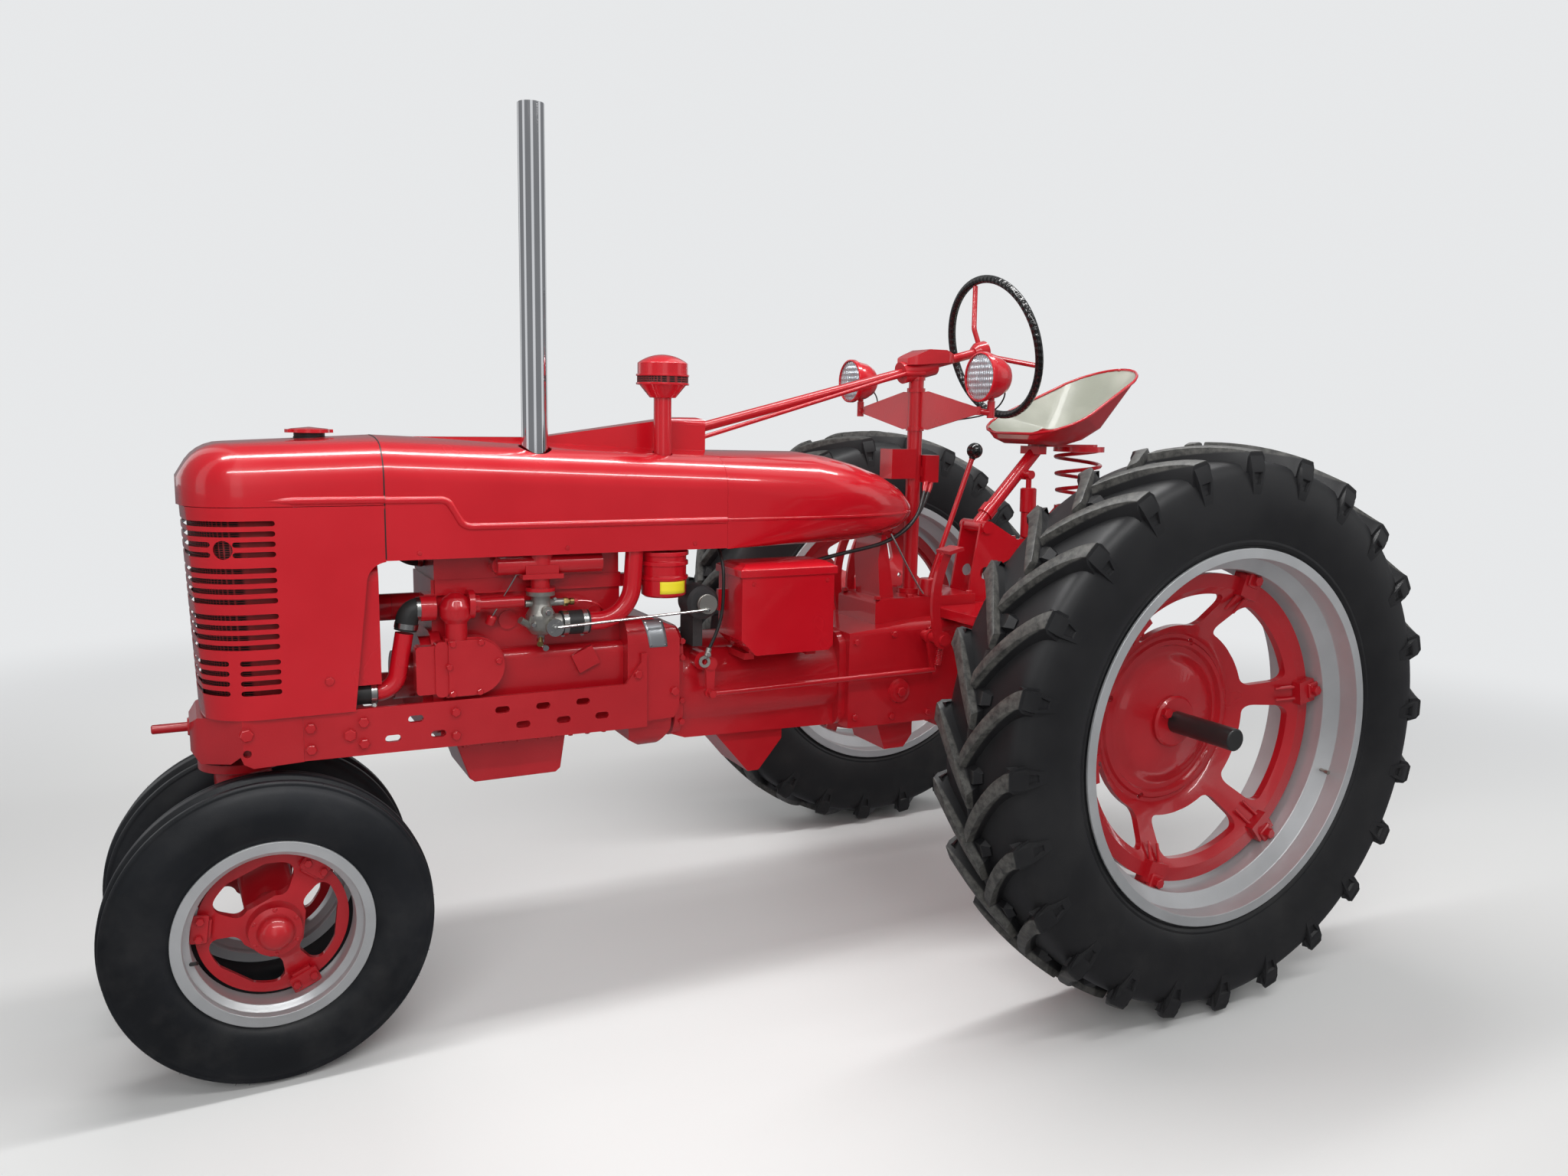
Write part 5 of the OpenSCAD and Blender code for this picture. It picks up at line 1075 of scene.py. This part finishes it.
def build_woven_wire():
    """Wires that cross each other in raised bands, black in the gaps and dusted with red paint on top."""
    made = surface("woven_wire", (0.012, 0.010, 0.010), (0.03, 0.02, 0.02), (0.5, 0.7))
    tree = made.node_tree
    at = object_place(tree)
    bands = [add_node(tree, "TexWave", {"Vector": at, "Scale": 60}, bands_direction=axis) for axis in "YZ"]
    wires = reckon(tree, "MAXIMUM", *(band.outputs["Fac"] for band in bands))
    tone = blend_colours(tree, span(tree, wires, 0.75, 0.95), (0.004, 0.004, 0.004), (0.20, 0.012, 0.014))
    tree.links.new(tone, tree.nodes["Principled BSDF"].inputs["Base Color"])
    raise_relief(tree, wires, 0.8)
    return made


screen_wire = build_woven_wire()


def build_grille_screen():
    """A sheet bent round the nose's plan and leaned back with it."""
    plan = [(2208, -SCREEN_HALF_W), (2240, -SCREEN_HALF_W)]
    for k in range(11):
        a = math.radians(9 * k)
        plan.append((NOSE_X - SCREEN_CORNER + SCREEN_CORNER * math.sin(a),
                     -SCREEN_HALF_W + SCREEN_CORNER - SCREEN_CORNER * math.cos(a)))
    plan += [(NOSE_X + 1.5, -40), (NOSE_X + 2, 0)]
    plan += [(x, -y) for x, y in reversed(plan[:-1])]
    lean = math.tan(math.radians(NOSE_LEAN))
    rows = [[spot(x - (NOSE_TOP_Z - z) * lean, y, z) for x, y in plan] for z in (882, 1000, 1120, 1240, 1345)]
    lay_sheet("grille_screen", rows, screen_wire, 1.2)


build_grille_screen()


def build_precleaner_screen():
    bm = bmesh.new()
    turned_band(bm, facing(THROAT_X, THROAT_Y, THROAT_Z, UP), THROAT_R, THROAT_R + 0.6, 3, 23, 64)
    seal(bm, "precleaner_screen", screen_wire)
    bm = bmesh.new()
    for rise in (2, 24):
        turned(bm, facing(THROAT_X, THROAT_Y, THROAT_Z + rise, UP),
               [(66, -2.5), (69.5, -2.5), (70, 0), (69.5, 2.5), (66, 2.5), (66, -2.5)], 64)
    seal(bm, "precleaner_beads", red_sheet)


build_precleaner_screen()

# Control wire
# A bare steel wire, stiff enough to stand by itself.
# It hangs in a slight bow from under the tank down to the top of the gear case.


def build_control_wire():
    bm = bmesh.new()
    bow = route((512, 108, 1234), (494, 118, 1198), (462, 126, 1136), (424, 130, 1076), (404, 132, 1050))
    drawn_tube(bm, bow, 3.0)
    seal(bm, "control_wire", clamp_steel, sharp=60)


build_control_wire()

# Hood and exhaust
# The tall stack is chromed. Behind the nose, where the hood starts, a black strip over the joint is a painted
# shadow of its gap.
# The filler neck under the red radiator cap is black.
JOINT_X, JOINT_MIDDLE_Z = 1976, 1250
JOINT_WIDE, JOINT_PROUD, JOINT_SUNK = 3.0, 0.4, 2
JOINT_STEPS = 110
CAP_X, CAP_SEAT_Z = 2113, 1502
chrome = surface("chrome", (0.75, 0.76, 0.78), (0.80, 0.80, 0.82), (0.04, 0.09), grain=500, depth=0.1,
                 bump=0.01, metal=1.0)
dress(chrome, 0, "exhaust_stack")


def lay_painted_joint_shadow():
    """A narrow black strip, a painted shadow of the joint's gap, laid on the skin where rays from outside
    meet it.
    """
    skins = []
    for name in ("hood", "nose_cap", "grille"):
        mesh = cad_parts[name].data
        skins.append(BVHTree.FromPolygons([v.co for v in mesh.vertices], [p.vertices for p in mesh.polygons]))
    middle = spot(JOINT_X, 0, JOINT_MIDDLE_Z)
    ray_reach = 0.6
    bm = bmesh.new()
    before = None
    for i in range(JOINT_STEPS + 1):
        a = math.radians(-50 + 280 * i / JOINT_STEPS)
        out = Vector((0, math.cos(a), math.sin(a)))
        rows = []
        for shift in (-JOINT_WIDE / 2, JOINT_WIDE / 2):
            start = middle + Vector((shift / 1000, 0, 0)) + out * ray_reach
            hits = [skin.ray_cast(start, -out, ray_reach) for skin in skins]
            hits = [(away, met, normal) for met, normal, _, away in hits if met is not None]
            if hits:
                _, met, normal = min(hits, key=lambda hit: hit[0])
                rows.append((met - out * (JOINT_SUNK / 1000), met + normal * JOINT_PROUD / 1000))
        if len(rows) < 2:
            before = None
            continue
        ring = [bm.verts.new(p) for p in (rows[0][0], rows[0][1], rows[1][1], rows[1][0])]
        if before:
            bridge(bm, before, ring)
        before = ring
    bmesh.ops.holes_fill(bm, edges=[e for e in bm.edges if len(e.link_faces) == 1], sides=4)
    # Painted shadow: the black strip stands for the shade inside the gap between the nose and the hood
    seal(bm, "painted_joint_shadow", wire_black)


lay_painted_joint_shadow()


def build_cap_collar():
    bm = bmesh.new()
    flange_r, neck_r, tall = 36.5, 35.2, 12.8
    turned(bm, facing(CAP_X, 0, CAP_SEAT_Z, UP),
           [(0, 0), (flange_r, 0), (flange_r, 3), (neck_r, 4), (neck_r, tall), (0, tall)], 40)
    seal(bm, "cap_collar", wire_black)


build_cap_collar()

# Steering wheel
# The rim is hard black rubber with finger grips moulded round it, so its shine breaks up.
# The grips are waves of relief in its finish, counted round the wheel's middle.
WHEEL_X, WHEEL_Z = 76, 1804
FINGER_GRIPS = 72
wheel_black = surface("wheel_black", (0.006, 0.006, 0.006), (0.010, 0.010, 0.010), (0.12, 0.2), grain=300,
                      bump=0.02, coat=0.5)
dress(wheel_black, 0, "steering_rim")


def waves_of(tree, value, rate):
    return reckon(tree, "SINE", reckon(tree, "MULTIPLY", value, rate))


def mould_grips():
    tree = wheel_black.node_tree
    middle = spot(WHEEL_X, 0, WHEEL_Z)
    shift = add_node(tree, "VectorMath", {0: object_place(tree), 1: middle}, operation="SUBTRACT")
    parts = add_node(tree, "SeparateXYZ", {0: shift.outputs[0]}).outputs
    angle = reckon(tree, "ARCTAN2", parts["Z"], parts["Y"])
    raise_relief(tree, waves_of(tree, angle, FINGER_GRIPS), 0.55, 0.0016, over_first=True)


mould_grips()

# Lamp glass
# A silvered bowl shines through a lens of pressed glass.
# Upright flutes and level bands, twice as far apart, are pressed in its face.
FLUTE_PITCH, BAND_PITCH = 0.0085, 0.017
glass = surface("lamp_glass", (0.46, 0.50, 0.54), (0.62, 0.66, 0.70), (0.10, 0.20), grain=60, bump=0.05,
                metal=0.6, coat=0.8)
dress(glass, 0, "headlamp_lenses")


def press_flutes():
    tree = glass.node_tree
    parts = add_node(tree, "SeparateXYZ", {0: object_place(tree)}).outputs
    flutes = waves_of(tree, parts["Y"], 2 * math.pi / FLUTE_PITCH)
    bands = waves_of(tree, parts["Z"], 2 * math.pi / BAND_PITCH)
    raise_relief(tree, reckon(tree, "ADD", flutes, bands), 0.8, 0.0016, over_first=True)


press_flutes()

# Seat
# Worn off-white enamel fills the bowl, and the pan is red from below like the rest of the seat.
# A rolled red bead edges the pressed steel, and a black moulded knob tops the gear lever before it.
SEAT_TILT = 26
SEAT_MIDDLE = (-228, 0, 1641)
KNOB_AT, KNOB_R = (192, 78, 1482), 24.8
LEVER_ALONG = (-0.352, 0, 0.936)
seat_white = surface("seat_enamel", (0.27, 0.28, 0.23), (0.43, 0.43, 0.37), (0.34, 0.55), grain=90,
                     bump=0.15, coat=0.2, dust=0.2)
dress(seat_white, 0.001, "seat_pan")


def paint_under(made, colour):
    """Gives the faces that look down a second colour."""
    tree = made.node_tree
    tone = tree.nodes["Principled BSDF"].inputs["Base Color"]
    facing_up = add_node(tree, "SeparateXYZ", {0: add_node(tree, "TexCoord").outputs["Normal"]}).outputs["Z"]
    both = blend_colours(tree, span(tree, facing_up, -0.1, 0.0), colour, tone.links[0].from_socket)
    tree.links.new(both, tone)


paint_under(seat_white, (0.40, 0.0035, 0.010))


def build_gear_knob():
    """A ball on a short neck, in line with the lever."""
    bm = bmesh.new()
    neck = [(0, -28), (9.5, -28), (11, -22)]
    ball = [(KNOB_R * math.sin(a), -KNOB_R * math.cos(a)) for a in map(math.radians, range(32, 180, 12))]
    turned(bm, facing(*KNOB_AT, LEVER_ALONG), neck + ball + [(0, KNOB_R)], 32)
    seal(bm, "gear_knob", wheel_black)


build_gear_knob()


def seat_rim_line():
    """The outer edge of the pressed seat, read from its own solid, once round."""
    tilt = math.radians(SEAT_TILT)
    middle = spot(*SEAT_MIDDLE)
    along = Vector((math.cos(tilt), 0, -math.sin(tilt)))
    normal = Vector((math.sin(tilt), 0, math.cos(tilt)))
    edge_depth, bead_depth, degrees_a_step = 0.0035, 0.0015, 6
    furthest = {}
    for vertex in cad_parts["seat_pan"].data.vertices:
        away = vertex.co - middle
        if away.dot(normal) > -edge_depth:
            p = Vector((away.dot(along), away.y))
            step = round(math.degrees(math.atan2(p.y, p.x)) / degrees_a_step)
            if step not in furthest or p.length > furthest[step].length:
                furthest[step] = p
    ordered = [furthest[step] for step in sorted(furthest)]
    return [middle + along * p.x + Vector((0, p.y, 0)) - normal * bead_depth for p in ordered]


def build_seat_bead():
    line = seat_rim_line()
    bm = bmesh.new()
    drawn_tube(bm, line + line[:2], 4.6, capped=False)
    bmesh.ops.remove_doubles(bm, verts=bm.verts, dist=0.0004)
    seal(bm, "seat_bead", red_sheet, sharp=70)


build_seat_bead()

# Bolts of the gear case and the covers
# Painted hex bolts close the gear case, the axle carriers and the covers, and hex plugs their oil holes.
# Round-headed screws hold the hood's sides and the battery box.
CARRIER_BOLT_R, CARRIER_BOLTS = 149, 10
CASE_FACE, CASE_TOP_Z, REAR_FACE_X = 168.7, 1035.5, -204.5
SUMP_PLUG_X, SUMP_PLUG_Z = 1655, 630.5


def add_round_screw(bm, seat):
    turned(bm, seat, [(0, 0), (6, 0), (5, 2.4), (0, 3.2)], 14)


def build_housing_bolts():
    bm = bmesh.new()
    for side in (1, -1):
        outward = (0, side, 0)
        for i in range(CARRIER_BOLTS):
            a = math.radians(18 + 360 / CARRIER_BOLTS * i)
            x, z = CARRIER_BOLT_R * math.cos(a), REAR_AXLE_Z + CARRIER_BOLT_R * math.sin(a)
            hex_head(bm, facing(x, side * 230, z, outward, i * 13), 20, 12)
        for x, z in ((660, 925), (660, 700), (400, 950), (400, 690), (530, 940), (530, 690)):
            hex_head(bm, facing(x, side * CASE_FACE, z, outward, x % 40), 17, 8)
        for x in (205, 320, 430, 545):
            hex_head(bm, facing(x, side * 96, CASE_TOP_Z, UP, x % 50), 18, 9)
        for z in (600, 680, 760, 840, 900):
            hex_head(bm, facing(REAR_FACE_X, side * 186, z, BACK, z % 50), 17, 9)
        for z in (740, 800, 920, 965):
            hex_head(bm, facing(1204, side * 149.7, z, outward, z % 50), 16, 7, False)
        for x in (150, 60, -40):
            hex_head(bm, facing(x, side * 160, 1005.7, UP, 20), 13, 5)
    for y in (-120, -60, 60, 120):
        hex_head(bm, facing(REAR_FACE_X, y, 585, BACK, 10), 17, 9)
    # Plugs: sump drain and gear case filler
    turned(bm, facing(SUMP_PLUG_X, 0, SUMP_PLUG_Z, DOWN), [(0, 0), (15, 0), (15, 5), (0, 5)], 20)
    hex_head(bm, facing(SUMP_PLUG_X, 0, SUMP_PLUG_Z - 4.5, DOWN), 20, 10, False)
    for side in (1, -1):
        hex_head(bm, facing(507, side * 182.5, 766, (0, side, 0), 12), 26, 9, False)
    # Hood and battery box screws
    for side in (1, -1):
        for x in (1192, 1540, 1900):
            add_round_screw(bm, facing(x, side * 205.8, 1238, (0, side, 0)))
    for x in (812, 1040):
        add_round_screw(bm, facing(x, 254.8, 1128))
    seal(bm, "housing_bolts", red_cast)


build_housing_bolts()

# Pedal return spring
# A close coil of painted spring wire hangs from a hook on the pedal shaft.
# Its lower end reaches into the eye of the clutch rod and pulls the pedal back.
SPRING_TURNS, STEPS_A_TURN = 12, 14
COIL_R, SPRING_WIRE_R = 9.5, 1.7
SPRING_TOP, SPRING_FOOT = Vector((405, 232, 908)), Vector((405, 222, 846))


def build_pedal_spring():
    line = [spot(416, 234, 921)]
    steps = SPRING_TURNS * STEPS_A_TURN
    for i in range(steps + 1):
        a = 2 * math.pi * i / STEPS_A_TURN
        middle = SPRING_TOP.lerp(SPRING_FOOT, i / steps)
        line.append(spot(*(middle + Vector((math.cos(a), math.sin(a), 0)) * COIL_R)))
    line.append(spot(405, 212, 833))
    bm = bmesh.new()
    drawn_tube(bm, line, SPRING_WIRE_R, 6)
    seal(bm, "pedal_spring", red_sheet, sharp=60)


build_pedal_spring()
